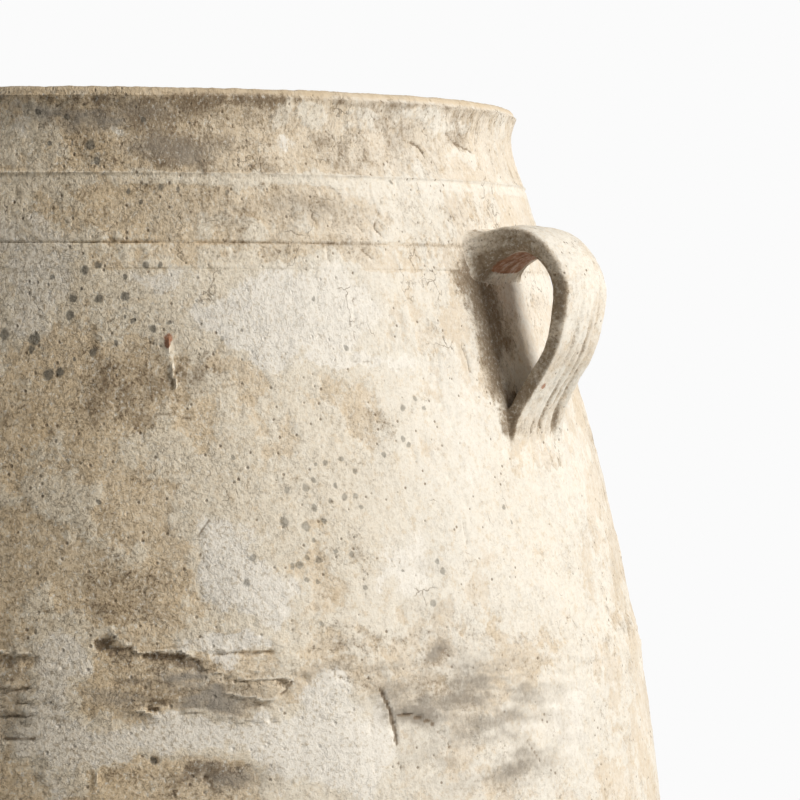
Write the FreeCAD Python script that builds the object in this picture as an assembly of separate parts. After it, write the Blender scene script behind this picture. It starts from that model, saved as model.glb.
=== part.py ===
"""Olive jar of thrown and luted terracotta.

The wall is made of rings that lap into each other, as a potter throws a large jar in
sections. Luting coils fill a groove over two of the joins, and two strap handles are
pressed onto the shoulder. The axis is +Z, the foot stands on Z = 0 and the handles lie
along +X and -X. Lengths are in millimetres.
"""

import FreeCAD
import Part
import os

# Heights of the pieces that stand on each other, from the foot to the lip
SLAB_THICKNESS = 24.0
LOWER_WALL_HEIGHT = 236.0
BELLY_WALL_HEIGHT = 302.0
SHOULDER_WALL_HEIGHT = 177.0
NECK_BAND_HEIGHT = 42.0
RIM_COLLAR_HEIGHT = 39.0

# Outside radius at the foot, at the lower joins, between them and at the lip
FOOT_RADIUS = 150.0
SHIN_RADIUS = 225.0
LOWER_JOIN_RADIUS = 266.0
BELLY_RADIUS = 278.0
BELLY_JOIN_RADIUS = 260.0
LIP_RADIUS = 200.0

# How much the wall widens from the lip to the rim's join, the neck's join and the shoulder
RIM_FLARE = 3.5
NECK_FLARE = 12.5
SHOULDER_FLARE = 20.0

# How far up its ring each radius between two joins lies
SHIN_RISE_SHARE = 0.47
BELLY_RISE_SHARE = 0.43
SHOULDER_RISE_SHARE = 0.58

# Wall, measured level
WALL_THICKNESS = 16.0
FOOT_WALL_THICKNESS = 24.0

# Rim: a lip with rounded corners over a waist, and a straight bore
LIP_THICKNESS = 24.0
LIP_ROUND = 5.0
WAIST_DROP = 17.0
WAIST_CUT = 2.5
MOUTH_ROUND = 7.0
THROAT_HEIGHT = 4.0

# Neck: a tooled line above its lower join
TOOL_LINE_RISE = 11.5
TOOL_LINE_HEIGHT = 3.0
TOOL_LINE_CUT = 1.2

# Joins: a step half way through the wall, with a film of slip between the rings
LAP_HEIGHT = 8.0
SLIP_GAP = 0.3

# Luting coils: height of the groove, its share of the wall and how far a coil stands proud
COIL_HEIGHT = 32.0
COIL_CUT_SHARE = 0.3
COIL_PROUD = 1.4

# Foot
SLAB_EDGE_CHAMFER = 4.0
FILLET_COIL_SIZE = 18.0

# Strap handle: places on its middle line, above or below the neck's join and out of the wall
UPPER_ROOT_RISE = 5.0
UPPER_ROOT_SINK = 9.0
ARCH_RISE = 14.5
ARCH_REACH = 20.0
KNUCKLE_RISE = 7.0
KNUCKLE_REACH = 38.0
BOW_FALL = 19.0
BOW_REACH = 37.0
RETURN_FALL = 49.0
RETURN_REACH = 15.0
LOWER_ROOT_FALL = 88.0
LOWER_ROOT_SINK = 3.0

# Strap handle: width and thickness at the roots and at the bow
UPPER_ROOT_WIDTH = 48.0
BOW_WIDTH = 39.0
LOWER_ROOT_WIDTH = 62.0
UPPER_ROOT_THICKNESS = 15.0
BOW_THICKNESS = 9.5
LOWER_ROOT_THICKNESS = 9.0
STRAP_SECTION_COUNT = 13

# Strap section: thickness of its edges, and how far they round out, as shares of its thickness
STRAP_EDGE_SHARE = 0.8
STRAP_ROUND_SHARE = 0.3

# Wad of soft clay pressed round the upper root of a handle
WAD_SIDE_MARGIN = 10.0
WAD_END_MARGIN = 12.0
WAD_PROUD = 5.0

# Halvings when a height is looked up on an outline
LOOKUP_STEP_COUNT = 50

# Heights of the joins and of the whole jar
LOWER_SEAT = SLAB_THICKNESS + LOWER_WALL_HEIGHT
BELLY_SEAT = LOWER_SEAT + BELLY_WALL_HEIGHT
NECK_SEAT = BELLY_SEAT + SHOULDER_WALL_HEIGHT
RIM_SEAT = NECK_SEAT + NECK_BAND_HEIGHT
JAR_HEIGHT = RIM_SEAT + RIM_COLLAR_HEIGHT

# Outside radius from the rim's join down to the shoulder
RIM_JOIN_RADIUS = LIP_RADIUS + RIM_FLARE
NECK_JOIN_RADIUS = RIM_JOIN_RADIUS + NECK_FLARE
SHOULDER_RADIUS = NECK_JOIN_RADIUS + SHOULDER_FLARE

# Places round the mouth
MOUTH_RADIUS = LIP_RADIUS - LIP_THICKNESS
MOUTH_FOOT = RIM_SEAT + LAP_HEIGHT + THROAT_HEIGHT
LIP_HEIGHT = JAR_HEIGHT - LIP_ROUND

ORIGIN = FreeCAD.Vector(0, 0, 0)
AXIS = FreeCAD.Vector(0, 0, 1)
ACROSS = FreeCAD.Vector(0, 1, 0)
OUTWARD = FreeCAD.Vector(1, 0, 0)


def at(radius, height):
    """A point of a profile, in the plane of +X and +Z."""
    return FreeCAD.Vector(radius, 0, height)


class Outline:
    """A smooth curve of radius against height, from the foot upwards."""

    def __init__(self, places):
        self.curve = Part.BSplineCurve()
        self.curve.interpolate([at(radius, height) for radius, height in places])

    def parameter(self, height):
        low, high = self.curve.FirstParameter, self.curve.LastParameter
        for _ in range(LOOKUP_STEP_COUNT):
            middle = (low + high) / 2
            if self.curve.value(middle).z < height:
                low = middle
            else:
                high = middle
        return (low + high) / 2

    def point(self, height):
        return self.curve.value(self.parameter(height))

    def radius(self, height):
        return self.point(height).x

    def edge(self, low, high):
        return self.curve.toShape(self.parameter(low), self.parameter(high))


def wall_places():
    """Outside radius and height of the wall between the foot and the rim."""
    return [
        (SHIN_RADIUS, SLAB_THICKNESS + SHIN_RISE_SHARE * LOWER_WALL_HEIGHT),
        (LOWER_JOIN_RADIUS, LOWER_SEAT),
        (BELLY_RADIUS, LOWER_SEAT + BELLY_RISE_SHARE * BELLY_WALL_HEIGHT),
        (BELLY_JOIN_RADIUS, BELLY_SEAT),
        (SHOULDER_RADIUS, BELLY_SEAT + SHOULDER_RISE_SHARE * SHOULDER_WALL_HEIGHT),
        (NECK_JOIN_RADIUS, NECK_SEAT),
        (RIM_JOIN_RADIUS, RIM_SEAT),
    ]


def outside_outline(growth):
    """The outside of the jar from the foot to the lip, moved out by a growth."""
    foot = (FOOT_RADIUS, 0)
    waist = (LIP_RADIUS - WAIST_CUT, JAR_HEIGHT - WAIST_DROP)
    lip = (LIP_RADIUS, LIP_HEIGHT)
    return Outline([(radius + growth, height) for radius, height in [foot, *wall_places(), waist, lip]])


OUTER = outside_outline(0)


def inside_outline():
    """The inside of the jar from the slab to the foot of the mouth's bore."""
    foot = (OUTER.radius(SLAB_THICKNESS) - FOOT_WALL_THICKNESS, SLAB_THICKNESS)
    wall = [(radius - WALL_THICKNESS, height) for radius, height in wall_places()]
    return Outline([foot, *wall, (MOUTH_RADIUS, MOUTH_FOOT)])


INNER = inside_outline()


def lines(points):
    """Straight edges from each point to the next."""
    return [Part.LineSegment(a, b).toShape() for a, b in zip(points, points[1:])]


def turned(edges):
    """The solid that a closed profile makes when it is turned about the axis."""
    wire = Part.Wire(Part.__sortEdges__(edges))
    return Part.Face(wire).revolve(ORIGIN, AXIS)


class Join:
    """Where one ring stands on the next: a seat outside, a step, and a tongue inside."""

    def __init__(self, seat, has_coil):
        self.seat = seat
        self.step = OUTER.radius(seat) - WALL_THICKNESS / 2
        self.has_coil = has_coil
        self.reach = COIL_HEIGHT / 2 if has_coil else 0
        self.cut_radius = OUTER.radius(seat) - COIL_CUT_SHARE * WALL_THICKNESS
        self.groove_radius = self.cut_radius - SLIP_GAP

    def arc(self, middle_radius):
        """An arc over the join, between the two edges of the luting groove."""
        low = OUTER.point(self.seat - self.reach)
        high = OUTER.point(self.seat + self.reach)
        return Part.Arc(low, at(middle_radius, self.seat), high)

    def groove_half(self, above):
        """The part of the groove that lies on the ring above or below the join."""
        groove = self.arc(self.groove_radius)
        middle = groove.parameter(at(self.groove_radius, self.seat))
        if above:
            return groove.toShape(middle, groove.LastParameter)
        return groove.toShape(groove.FirstParameter, middle)

    def seat_edge(self):
        """The outermost point of the seat."""
        return at(self.groove_radius, self.seat) if self.has_coil else OUTER.point(self.seat)

    def skirt(self):
        """Edges of the foot of the ring above, whose skirt goes round the tongue."""
        top = self.seat + LAP_HEIGHT
        step = self.step + SLIP_GAP
        edges = lines([INNER.point(top), at(step, top), at(step, self.seat), self.seat_edge()])
        return edges + ([self.groove_half(above=True)] if self.has_coil else [])

    def tongue_top(self):
        return self.seat + LAP_HEIGHT - SLIP_GAP

    def tongue(self):
        """Edges of the head of the ring below, whose tongue stands inside the skirt."""
        top = self.tongue_top()
        edges = lines([self.seat_edge(), at(self.step, self.seat), at(self.step, top), INNER.point(top)])
        return edges + ([self.groove_half(above=False)] if self.has_coil else [])

    def coil(self):
        """The luting coil that fills the groove and stands a little proud of the wall."""
        inside = self.arc(self.cut_radius)
        outside = self.arc(OUTER.radius(self.seat) + COIL_PROUD)
        return turned([inside.toShape(), outside.toShape()])


LOWER_JOIN = Join(LOWER_SEAT, has_coil=True)
BELLY_JOIN = Join(BELLY_SEAT, has_coil=True)
NECK_JOIN = Join(NECK_SEAT, has_coil=False)
RIM_JOIN = Join(RIM_SEAT, has_coil=False)


def ring(below, above):
    """A wall ring that stands on one join and carries the next."""
    outside = OUTER.edge(below.seat + below.reach, above.seat - above.reach)
    inside = INNER.edge(below.seat + LAP_HEIGHT, above.tongue_top())
    return turned([outside, inside, *below.skirt(), *above.tongue()])


def base_slab():
    """The beaten disc of the foot, with a spigot that centres the wall."""
    spigot_radius = INNER.radius(SLAB_THICKNESS) - SLIP_GAP
    spigot_top = SLAB_THICKNESS + LAP_HEIGHT
    profile = lines(
        [
            OUTER.point(SLAB_THICKNESS),
            at(spigot_radius, SLAB_THICKNESS),
            at(spigot_radius, spigot_top),
            at(0, spigot_top),
            at(0, 0),
            at(FOOT_RADIUS - SLAB_EDGE_CHAMFER, 0),
            OUTER.point(SLAB_EDGE_CHAMFER),
        ]
    )
    return turned([*profile, OUTER.edge(SLAB_EDGE_CHAMFER, SLAB_THICKNESS)])


def base_fillet_coil():
    """The coil pressed into the inner corner, where the wall meets the slab."""
    low = SLAB_THICKNESS + LAP_HEIGHT
    high = low + FILLET_COIL_SIZE
    toe = at(INNER.radius(low) - FILLET_COIL_SIZE, low)
    return turned([INNER.edge(low, high), *lines([INNER.point(high), toe, INNER.point(low)])])


def lower_wall():
    """The first thrown ring, which stands on the slab."""
    foot = lines([INNER.point(SLAB_THICKNESS), OUTER.point(SLAB_THICKNESS)])
    outside = OUTER.edge(SLAB_THICKNESS, LOWER_SEAT - LOWER_JOIN.reach)
    inside = INNER.edge(SLAB_THICKNESS, LOWER_JOIN.tongue_top())
    return turned([outside, inside, *foot, *LOWER_JOIN.tongue()])


def neck_band():
    """The collar between the shoulder and the rim, with a tooled line round it."""
    middle = NECK_SEAT + TOOL_LINE_RISE
    low = middle - TOOL_LINE_HEIGHT / 2
    high = middle + TOOL_LINE_HEIGHT / 2
    tool_tip = at(OUTER.radius(middle) - TOOL_LINE_CUT, middle)
    tool_low = at(OUTER.radius(low) + TOOL_LINE_CUT, low)
    tool_high = at(OUTER.radius(high) + TOOL_LINE_CUT, high)
    tool = turned(lines([tool_low, tool_tip, tool_high, tool_low]))
    return ring(NECK_JOIN, RIM_JOIN).cut(tool)


def rounded_corner(side_radius, size, outward):
    """A quarter round on the top of the lip, on the side that faces outward or the mouth."""
    centre = at(side_radius - outward * size, JAR_HEIGHT - size)
    side = centre + OUTWARD * (outward * size)
    top = centre + AXIS * size
    diagonal = (OUTWARD * outward + AXIS).normalize()
    return side, top, Part.Arc(side, centre + diagonal * size, top).toShape()


def rim_collar():
    """The mouth: a lip with rounded corners over a straight bore, on the neck's tongue."""
    _, lip_top, lip_corner = rounded_corner(LIP_RADIUS, LIP_ROUND, 1)
    mouth_side, mouth_top, mouth_corner = rounded_corner(MOUTH_RADIUS, MOUTH_ROUND, -1)
    crown = [lip_corner, *lines([lip_top, mouth_top]), mouth_corner]
    bore = lines([mouth_side, INNER.point(MOUTH_FOOT)])
    outside = OUTER.edge(RIM_SEAT, LIP_HEIGHT)
    inside = INNER.edge(RIM_SEAT + LAP_HEIGHT, MOUTH_FOOT)
    return turned([outside, *crown, *bore, inside, *RIM_JOIN.skirt()])


def jar_core():
    """The jar filled in and a film of slip larger, which trims what is pressed onto it."""
    skin = outside_outline(SLIP_GAP).curve
    closing = lines([skin.EndPoint, at(0, LIP_HEIGHT), at(0, 0), skin.StartPoint])
    return turned([skin.toShape(), *closing])


def strap_path():
    """The middle line of a handle, from its upper root over the bow to its lower root."""
    places = [
        (UPPER_ROOT_RISE, -UPPER_ROOT_SINK),
        (ARCH_RISE, ARCH_REACH),
        (KNUCKLE_RISE, KNUCKLE_REACH),
        (-BOW_FALL, BOW_REACH),
        (-RETURN_FALL, RETURN_REACH),
        (-LOWER_ROOT_FALL, -LOWER_ROOT_SINK),
    ]
    path = Part.BSplineCurve()
    path.interpolate([OUTER.point(NECK_SEAT + rise) + OUTWARD * reach for rise, reach in places])
    return path


def eased(upper, bow, lower, share):
    """A size along the strap: upper at 0, bow in the middle and lower at 1."""
    away = 2 * share - 1
    root = upper if away < 0 else lower
    return bow + (root - bow) * away * away


def strap_section(middle, normal, width, thickness):
    """A flat band across the strap's line, with crowned faces and rounded edges."""
    half_width = width / 2
    half_thickness = thickness / 2
    corner_across = half_width - STRAP_ROUND_SHARE * thickness
    corner_out = STRAP_EDGE_SHARE * half_thickness

    def place(across, out):
        return middle + ACROSS * across + normal * out

    corners = [
        place(corner_across, corner_out),
        place(-corner_across, corner_out),
        place(-corner_across, -corner_out),
        place(corner_across, -corner_out),
    ]
    crowns = [
        place(0, half_thickness),
        place(-half_width, 0),
        place(0, -half_thickness),
        place(half_width, 0),
    ]
    ends = corners[1:] + corners[:1]
    return Part.Wire([Part.Arc(*points).toShape() for points in zip(corners, crowns, ends)])


def handle_strap(core):
    """A pulled strap, pressed onto the wall at both ends."""
    path = strap_path()
    sections = []
    for number in range(STRAP_SECTION_COUNT):
        share = number / (STRAP_SECTION_COUNT - 1)
        along = path.FirstParameter + share * (path.LastParameter - path.FirstParameter)
        middle = path.value(along)
        normal = path.tangent(along)[0].cross(ACROSS)
        width = eased(UPPER_ROOT_WIDTH, BOW_WIDTH, LOWER_ROOT_WIDTH, share)
        thickness = eased(UPPER_ROOT_THICKNESS, BOW_THICKNESS, LOWER_ROOT_THICKNESS, share)
        sections.append(strap_section(middle, normal, width, thickness))
    return Part.makeLoft(sections, True).cut(core)


def handle_wad(core, strap):
    """The wad of soft clay smeared round the upper root of a strap."""
    stretch = FreeCAD.Matrix()
    half_width = UPPER_ROOT_WIDTH / 2 + WAD_SIDE_MARGIN
    half_height = UPPER_ROOT_THICKNESS / 2 + WAD_END_MARGIN
    stretch.scale(WAD_PROUD, half_width, half_height)
    wad = Part.makeSphere(1).transformGeometry(stretch)
    wad.translate(OUTER.point(NECK_SEAT + UPPER_ROOT_RISE))
    return wad.cut(core).cut(strap)


def opposite(shape):
    """The same piece on the other side of the jar."""
    return shape.mirror(ORIGIN, OUTWARD)


def build():
    """Every piece of the jar by name."""
    core = jar_core()
    strap = handle_strap(core)
    wad = handle_wad(core, strap)
    return {
        "base_slab": base_slab(),
        "base_fillet_coil": base_fillet_coil(),
        "lower_wall": lower_wall(),
        "lower_seam_coil": LOWER_JOIN.coil(),
        "belly_wall": ring(LOWER_JOIN, BELLY_JOIN),
        "belly_seam_coil": BELLY_JOIN.coil(),
        "shoulder_wall": ring(BELLY_JOIN, NECK_JOIN),
        "neck_band": neck_band(),
        "rim_collar": rim_collar(),
        "right_handle_strap": strap,
        "right_handle_wad": wad,
        "left_handle_strap": opposite(strap),
        "left_handle_wad": opposite(wad),
    }


def main():
    os.makedirs("parts", exist_ok=True)
    for name, shape in build().items():
        shape.exportStep(f"parts/{name}.step")
        print(name, "solids", len(shape.Solids), "valid", shape.isValid(), "volume", round(shape.Volume))


main()
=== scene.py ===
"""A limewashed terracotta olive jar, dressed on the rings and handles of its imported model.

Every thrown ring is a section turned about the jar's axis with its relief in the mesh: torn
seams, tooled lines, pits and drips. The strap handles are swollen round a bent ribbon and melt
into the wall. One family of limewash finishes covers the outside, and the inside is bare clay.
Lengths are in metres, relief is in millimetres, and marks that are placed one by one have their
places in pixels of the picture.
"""

import math

import bpy
import numpy as np
from mathutils import Euler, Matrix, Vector
from mathutils.bvhtree import BVHTree


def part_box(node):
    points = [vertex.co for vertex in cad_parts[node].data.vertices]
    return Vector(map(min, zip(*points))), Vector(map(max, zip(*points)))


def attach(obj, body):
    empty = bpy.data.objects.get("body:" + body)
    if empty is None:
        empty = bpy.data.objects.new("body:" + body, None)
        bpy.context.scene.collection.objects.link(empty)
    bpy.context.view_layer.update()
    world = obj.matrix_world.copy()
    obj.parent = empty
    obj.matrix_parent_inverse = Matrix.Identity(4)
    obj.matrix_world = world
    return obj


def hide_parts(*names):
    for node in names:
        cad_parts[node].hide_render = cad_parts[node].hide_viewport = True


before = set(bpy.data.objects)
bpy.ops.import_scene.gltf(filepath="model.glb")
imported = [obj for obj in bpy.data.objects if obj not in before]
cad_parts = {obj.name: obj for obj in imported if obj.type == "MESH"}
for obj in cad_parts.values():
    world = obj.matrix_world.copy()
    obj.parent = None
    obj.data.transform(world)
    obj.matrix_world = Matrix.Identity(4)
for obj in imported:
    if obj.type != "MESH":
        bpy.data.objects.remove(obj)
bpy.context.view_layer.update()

bl_info = {
    "name": "Olive jar",
    "version": (1, 0, 0),
    "blender": (4, 5, 0),
    "location": "3D View > Sidebar > Olive jar",
    "description": "Builds a weathered olive jar round its packed model",
    "category": "Add Mesh",
}

BODY = "root"
MM = 0.001
PER_METRE = 1000.0

# The picture that marks are placed on, in pixels
PICTURE_SIDE = 800
PICTURE_MIDDLE = PICTURE_SIDE / 2

# Places that lie on the frame's own pieces
SLAB_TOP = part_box("lower_wall")[0].z
LOWER_COIL = (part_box("lower_seam_coil")[0].z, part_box("lower_seam_coil")[1].z)
BELLY_COIL = (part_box("belly_seam_coil")[0].z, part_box("belly_seam_coil")[1].z)
NECK_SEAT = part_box("neck_band")[0].z
RIM_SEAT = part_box("rim_collar")[0].z
JAR_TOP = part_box("rim_collar")[1].z
LOWER_SEAT = sum(LOWER_COIL) / 2
BELLY_SEAT = sum(BELLY_COIL) / 2

# How far the foot's inner coil is let into the wall, and how far its face sags
FILLET_LET_IN = 0.002
FILLET_SAG = 0.001

# How far below the belly's seam the rows of faces stay fine
FINE_DROP = 0.056

# Corners of the foot and of the lip
FOOT_CHAMFER = 0.004
LIP_ROUND = 0.005
MOUTH_ROUND = 0.007

# Lines round the neck, in millimetres below the mouth: the rim's join, the tooled line, the neck's join
RIM_LINE = 39.0
TOOL_LINE = 69.5
NECK_LINE = 81.7

# Radius, in millimetres, of the drum on which the wall is laid flat for its marks
DRUM = 250.0

# Radius, in millimetres, inside which the lip has turned over
LIP_EDGE = 197.0

# Below these heights the wall is held in, so that its relief stays within the jar's size, in millimetres
HELD_HEIGHTS = (560.0, 460.0)
HELD_IN = 1.4

# Steeper edges than this stay sharp
SHARP_ANGLE = math.radians(60)


class JarSizes(bpy.types.PropertyGroup):
    """Sizes of the jar's own forms and of the mesh."""

    turn_steps: bpy.props.IntProperty(
        name="Turn steps", description="Points round each thrown ring", default=840, min=64)
    front_pull: bpy.props.FloatProperty(
        name="Front pull", description="How much closer the points lie on the side in view",
        default=0.5, min=0, max=0.8)
    front_turn: bpy.props.FloatProperty(
        name="Front turn", description="Where the points lie closest, right of the camera",
        default=math.radians(40), subtype="ANGLE")
    fine_row: bpy.props.FloatProperty(
        name="Fine row", description="Height of a row of faces on the upper rings",
        default=0.0017, unit="LENGTH")
    finest_row: bpy.props.FloatProperty(
        name="Finest row", description="Height of a row of faces at the neck, lip and seams",
        default=0.0008, unit="LENGTH")
    coarse_row: bpy.props.FloatProperty(
        name="Coarse row", description="Height of a row of faces low on the jar",
        default=0.004, unit="LENGTH")
    inside_row: bpy.props.FloatProperty(
        name="Inside row", description="Height of a row of faces inside the jar",
        default=0.012, unit="LENGTH")
    lip_round: bpy.props.FloatProperty(
        name="Lip round", description="Radius of the lip's outer corner",
        default=LIP_ROUND, unit="LENGTH")
    mouth_round: bpy.props.FloatProperty(
        name="Mouth round", description="Radius of the lip's inner corner",
        default=MOUTH_ROUND, unit="LENGTH")
    coil_depth: bpy.props.FloatProperty(
        name="Coil depth", description="How deep a seam coil is let into the wall",
        default=0.008, unit="LENGTH")
    voxel: bpy.props.FloatProperty(
        name="Handle grain", description="Grid that the handles are swollen on",
        default=0.0009, unit="LENGTH")
    handle_blend: bpy.props.FloatProperty(
        name="Handle blend", description="How far a handle's roots melt into the wall",
        default=0.015, unit="LENGTH")


class JarColours(bpy.types.PropertyGroup):
    """Colours of the finishes."""

    limewash: bpy.props.FloatVectorProperty(
        name="Limewash", description="Sound limewash", subtype="COLOR", default=(0.795, 0.722, 0.62))
    ochre_wash: bpy.props.FloatVectorProperty(
        name="Ochre wash", description="Limewash browned by weather", subtype="COLOR",
        default=(0.76, 0.615, 0.43))
    white_lime: bpy.props.FloatVectorProperty(
        name="White lime", description="Fresh lime where the skin has flaked", subtype="COLOR",
        default=(0.88, 0.85, 0.78))
    # Painted shade: a brown tint multiplied over the washes towards the jar's shaded left and where it is
    # dirty.
    shade_glaze: bpy.props.FloatVectorProperty(
        name="Glaze", description="Thin brown film over all washes on the shaded side", subtype="COLOR",
        default=(1.0, 0.94, 0.83))
    warm_wash: bpy.props.FloatVectorProperty(
        name="Warm wash", description="Thin wash with clay under it", subtype="COLOR",
        default=(0.68, 0.545, 0.375))
    grey_wash: bpy.props.FloatVectorProperty(
        name="Grey wash", description="Old grey wash", subtype="COLOR", default=(0.52, 0.468, 0.395))
    # Also the colour of the painted shade on the handles and of the right handle's painted shadow on the
    # wall.
    grime_and_shade: bpy.props.FloatVectorProperty(
        name="Grime", description="Dirt in hollows and under the lip", subtype="COLOR",
        default=(0.195, 0.138, 0.084))
    soot: bpy.props.FloatVectorProperty(
        name="Soot", description="Grey smears of old soot and dust", subtype="COLOR",
        default=(0.36, 0.318, 0.265))
    chalk: bpy.props.FloatVectorProperty(
        name="Chalk", description="Cool pale scale in patches", subtype="COLOR",
        default=(0.91, 0.865, 0.79))
    lichen: bpy.props.FloatVectorProperty(
        name="Lichen", description="Grey discs of lichen", subtype="COLOR",
        default=(0.145, 0.133, 0.108))
    terracotta: bpy.props.FloatVectorProperty(
        name="Terracotta", description="Fired clay in chips and under the handles", subtype="COLOR",
        default=(0.36, 0.145, 0.07))
    bare_clay: bpy.props.FloatVectorProperty(
        name="Bare clay", description="Unwashed clay inside the jar", subtype="COLOR",
        default=(0.42, 0.27, 0.17))


class StageSettings(bpy.types.PropertyGroup):
    """The camera, the light and the floor."""

    camera_turn: bpy.props.FloatProperty(
        name="Camera turn", description="Where the camera stands round the jar",
        default=math.radians(34), subtype="ANGLE")
    camera_distance: bpy.props.FloatProperty(
        name="Camera distance", description="From the jar's axis", default=1.705, unit="LENGTH")
    camera_height: bpy.props.FloatProperty(
        name="Camera height", description="Above the floor", default=0.718, unit="LENGTH")
    camera_pan: bpy.props.FloatProperty(
        name="Camera pan", description="How far right of the axis the camera looks",
        default=math.radians(4.80), subtype="ANGLE")
    camera_dip: bpy.props.FloatProperty(
        name="Camera dip", description="How far down the camera looks",
        default=math.radians(1.386), subtype="ANGLE")
    focal_pixels: bpy.props.FloatProperty(
        name="Focal length", description="In pixels of the picture", default=3430)
    sensor: bpy.props.FloatProperty(
        name="Sensor", description="Width of the camera's sensor in millimetres", default=36)
    key_turn: bpy.props.FloatProperty(
        name="Key turn", description="Where the main light stands, right of the camera",
        default=math.radians(65), subtype="ANGLE")
    key_rise: bpy.props.FloatProperty(
        name="Key rise", description="Height of the main light above the level",
        default=math.radians(32), subtype="ANGLE")
    key_distance: bpy.props.FloatProperty(
        name="Key distance", description="From the jar to the main light", default=3.2, unit="LENGTH")
    key_side: bpy.props.FloatProperty(
        name="Key side", description="Width of the main light", default=1.3, unit="LENGTH")
    key_power: bpy.props.FloatProperty(
        name="Key power", description="Power of the main light in watts", default=95)
    fill: bpy.props.FloatProperty(
        name="Fill", description="Strength of the light from all round", default=0.185)
    key_colour: bpy.props.FloatVectorProperty(
        name="Key colour", description="Colour of the main light", subtype="COLOR",
        default=(1.0, 0.972, 0.925))
    fill_colour: bpy.props.FloatVectorProperty(
        name="Fill colour", description="Colour of the light from all round", subtype="COLOR",
        default=(1.0, 0.97, 0.92))
    floor_colour: bpy.props.FloatVectorProperty(
        name="Floor colour", description="Main colour of the floor", subtype="COLOR",
        default=(0.86, 0.86, 0.85))
    floor_shade: bpy.props.FloatVectorProperty(
        name="Floor shade", description="Colour of the floor's faint clouds", subtype="COLOR",
        default=(0.78, 0.78, 0.77))
    backdrop: bpy.props.FloatVectorProperty(
        name="Backdrop", description="Colour behind the jar", subtype="COLOR",
        default=(0.965, 0.965, 0.965))
    floor_radius: bpy.props.FloatProperty(
        name="Floor radius", description="Radius of the floor disc", default=3.0, unit="LENGTH")


def sizes():
    """The jar's sizes."""
    return bpy.context.scene.jar_sizes


def colours():
    """The colours of the finishes."""
    return bpy.context.scene.jar_colours


def stage_settings():
    """The settings of the camera, the light and the floor."""
    return bpy.context.scene.jar_stage


# Shape of the wall, read from the frame

def facing_points(node, low, high, outward):
    """Radius and height of a ring's outside or inside, between two heights."""
    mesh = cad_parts[node].data
    found = {}
    for face in mesh.polygons:
        across = Vector((face.center.x, face.center.y, 0)).normalized().dot(face.normal)
        if across * outward < 0.6:
            continue
        for corner in face.vertices:
            place = mesh.vertices[corner].co
            if low - MM / 2 <= place.z <= high + MM / 2:
                found.setdefault(round(place.z * PER_METRE, 1), []).append(math.hypot(place.x, place.y))
    outermost = max if outward > 0 else min
    return [(height * MM, outermost(radii)) for height, radii in found.items()]


class Outline:
    """A smooth radius against height through points that lie on the frame's rings."""

    def __init__(self, points):
        ordered = np.array(sorted(points))
        spaced = np.concatenate([[True], np.diff(ordered[:, 0]) > MM])
        self.height, self.radius = ordered[spaced].T
        self.slope = np.gradient(self.radius, self.height)

    def __call__(self, height):
        height = np.clip(height, self.height[0], self.height[-1])
        i = np.clip(np.searchsorted(self.height, height) - 1, 0, len(self.height) - 2)
        step = self.height[i + 1] - self.height[i]
        t = (height - self.height[i]) / step
        rise = t * t * (3 - 2 * t)
        lead = t * (1 - t) ** 2 * step * self.slope[i]
        trail = t * t * (1 - t) * step * self.slope[i + 1]
        return self.radius[i] + rise * (self.radius[i + 1] - self.radius[i]) + lead - trail


TOOL_LINE_RISE = 0.0115
TOOL_LINE_HALF = 0.002
LAP = 0.0085
OUTSIDE_SPANS = (
    ("base_slab", FOOT_CHAMFER, SLAB_TOP),
    ("lower_wall", SLAB_TOP, LOWER_COIL[0]),
    ("lower_seam_coil", *LOWER_COIL),
    ("belly_wall", LOWER_COIL[1], BELLY_COIL[0]),
    ("belly_seam_coil", *BELLY_COIL),
    ("shoulder_wall", BELLY_COIL[1], NECK_SEAT),
    ("neck_band", NECK_SEAT, NECK_SEAT + TOOL_LINE_RISE - TOOL_LINE_HALF),
    ("neck_band", NECK_SEAT + TOOL_LINE_RISE + TOOL_LINE_HALF, RIM_SEAT),
    ("rim_collar", RIM_SEAT, JAR_TOP - LIP_ROUND),
)
INSIDE_SPANS = (
    ("lower_wall", SLAB_TOP, LOWER_SEAT),
    ("belly_wall", LOWER_SEAT + LAP, BELLY_SEAT),
    ("shoulder_wall", BELLY_SEAT + LAP, NECK_SEAT),
    ("neck_band", NECK_SEAT + LAP, RIM_SEAT),
    ("rim_collar", RIM_SEAT + LAP, JAR_TOP - MOUTH_ROUND),
)


def outline(spans, outward):
    """The outside or inside of the whole jar, from spans of its rings."""
    return Outline([point for node, low, high in spans for point in facing_points(node, low, high, outward)])


OUTSIDE = outline(OUTSIDE_SPANS, 1)
INSIDE = outline(INSIDE_SPANS, -1)


# Places on the wall that were chosen on the picture

class WallFinder:
    """Finds the place on the wall that lies behind a pixel of the picture."""

    def __init__(self):
        corners, faces = [], []
        for node, _, _ in OUTSIDE_SPANS:
            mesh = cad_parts[node].data
            start = len(corners)
            corners.extend(vertex.co.copy() for vertex in mesh.vertices)
            faces.extend([start + corner for corner in face.vertices] for face in mesh.polygons)
        self.tree = BVHTree.FromPolygons(corners, faces)

    def flat(self, x, y):
        """The place behind a pixel with the wall laid flat: round the drum, and up, in millimetres."""
        stage = stage_settings()
        place, turn = camera_place(stage)
        lens = stage.focal_pixels
        ray = Vector(((x - PICTURE_MIDDLE) / lens, (PICTURE_MIDDLE - y) / lens, -1))
        ray.rotate(turn)
        hit = self.tree.ray_cast(place, ray.normalized())[0]
        if hit is None:
            raise RuntimeError(f"no wall behind pixel {x}, {y}")
        right, front = across_view(hit.x, hit.y, stage.camera_turn)
        return Vector((math.atan2(right, front) * DRUM, hit.z * PER_METRE, 0))


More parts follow.
